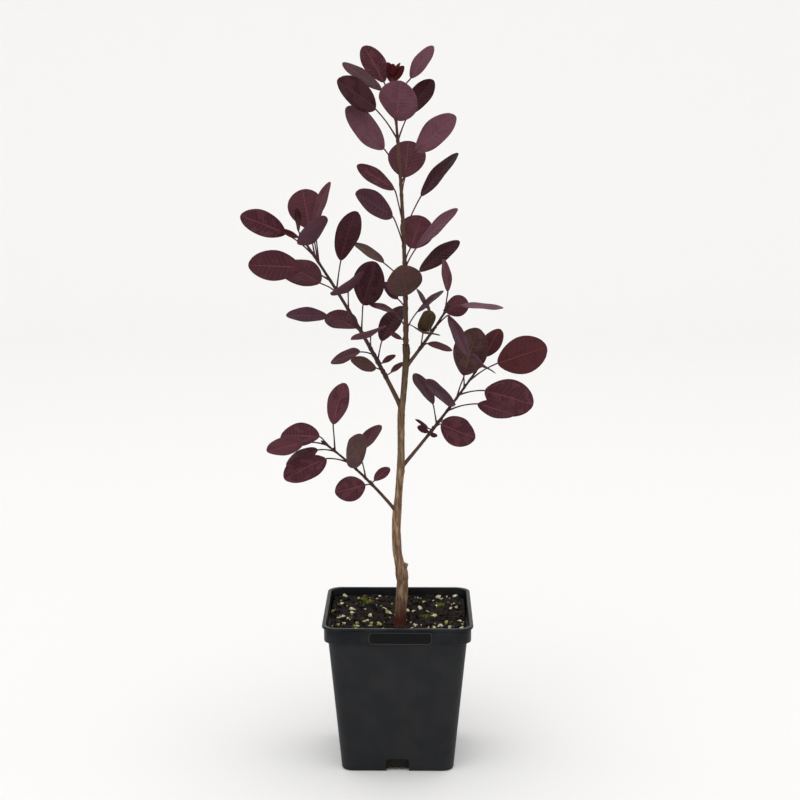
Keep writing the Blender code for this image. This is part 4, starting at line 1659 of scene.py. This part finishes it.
@dataclass
class Studio:
    """A pale curved backdrop, soft light and the photograph's camera."""

    width: float = 14.0
    depth: float = 2.2
    wall_height: float = 3.4
    bend: float = 1.0
    bend_steps: int = 24
    world_colour: str = "#fffefd"
    world_strength: float = 0.99
    lights: tuple[SoftLight, ...] = (
        SoftLight("key_light", (-0.7, -1.6, 1.9), 1.8, 7.0),
        SoftLight("top_light", (0.3, 0.3, 2.3), 2.2, 3.0),
    )
    lens: float = 77.0  # millimetres, and so is the sensor
    sensor: float = 36.0
    camera_place: tuple[float, float, float] = (0.01172, -1.14963, 0.45046)
    camera_dip: float = 9.822
    camera_turn: float = 0.5218

    def build(self) -> None:
        """Builds the backdrop, the lights and the camera."""
        self.build_backdrop()
        for light in self.lights:
            light.build()
        scene = bpy.context.scene
        scene.world = bpy.data.worlds.new("soft_white_room")
        scene.world.use_nodes = True
        background = scene.world.node_tree.nodes["Background"]
        background.inputs["Color"].default_value = linear(self.world_colour)
        background.inputs["Strength"].default_value = self.world_strength
        scene.view_settings.view_transform = "Standard"
        camera = bpy.data.cameras.new("photograph_camera")
        camera.lens, camera.sensor_width = self.lens, self.sensor
        view = bpy.data.objects.new("photograph_camera", camera)
        view.location = self.camera_place
        view.rotation_euler = (math.radians(90 - self.camera_dip), 0.0, math.radians(self.camera_turn))
        scene.collection.objects.link(view)
        scene.camera = view

    def build_backdrop(self) -> None:
        """Builds the floor and the wall behind it, with a wide bend between them."""
        paper = fresh(bpy.ops.mesh.primitive_plane_add, size=self.width)
        paper.name = "studio_paper"
        mesh = paper.data
        bpy.ops.object.mode_set(mode="EDIT")
        bpy.ops.mesh.select_all(action="SELECT")
        bpy.ops.transform.translate(value=(0, self.depth - self.width / 2, 0))
        bpy.ops.mesh.select_all(action="DESELECT")
        bpy.ops.object.mode_set(mode="OBJECT")
        for edge in mesh.edges:
            edge.select = all(mesh.vertices[v].co.y > 0 for v in edge.vertices)
        bpy.ops.object.mode_set(mode="EDIT")
        turned = [math.radians(90 * i / self.bend_steps) for i in range(self.bend_steps + 1)]
        for a, b in zip(turned, turned[1:]):
            step = Vector((0, math.sin(b) - math.sin(a), math.cos(a) - math.cos(b))) * self.bend
            bpy.ops.mesh.extrude_edges_move(TRANSFORM_OT_translate={"value": tuple(step)})
        rise = {"value": (0, 0, self.wall_height - self.bend)}
        bpy.ops.mesh.extrude_edges_move(TRANSFORM_OT_translate=rise)
        bpy.ops.object.mode_set(mode="OBJECT")
        bpy.ops.object.shade_smooth()
        mesh.materials.append(BACKDROP.material())


def main() -> None:
    """Builds the pot, the mix, the trunk, each shoot and the studio, and reports each piece."""
    logging.basicConfig(level=logging.INFO, format="%(message)s")
    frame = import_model()
    LOG.info("loaded %d nodes", len(frame["nodes"]))
    pieces = [Pot().build(), *PottingMix().build(), *Trunk().build()]
    for shoot in SHOOTS:
        pieces += [Twigs(shoot).build(), Foliage(shoot).build()]
    for piece in pieces:
        LOG.info("%s: %d faces", piece.name, len(piece.data.polygons))
    Studio().build()


if __name__ == "__main__":
    main()
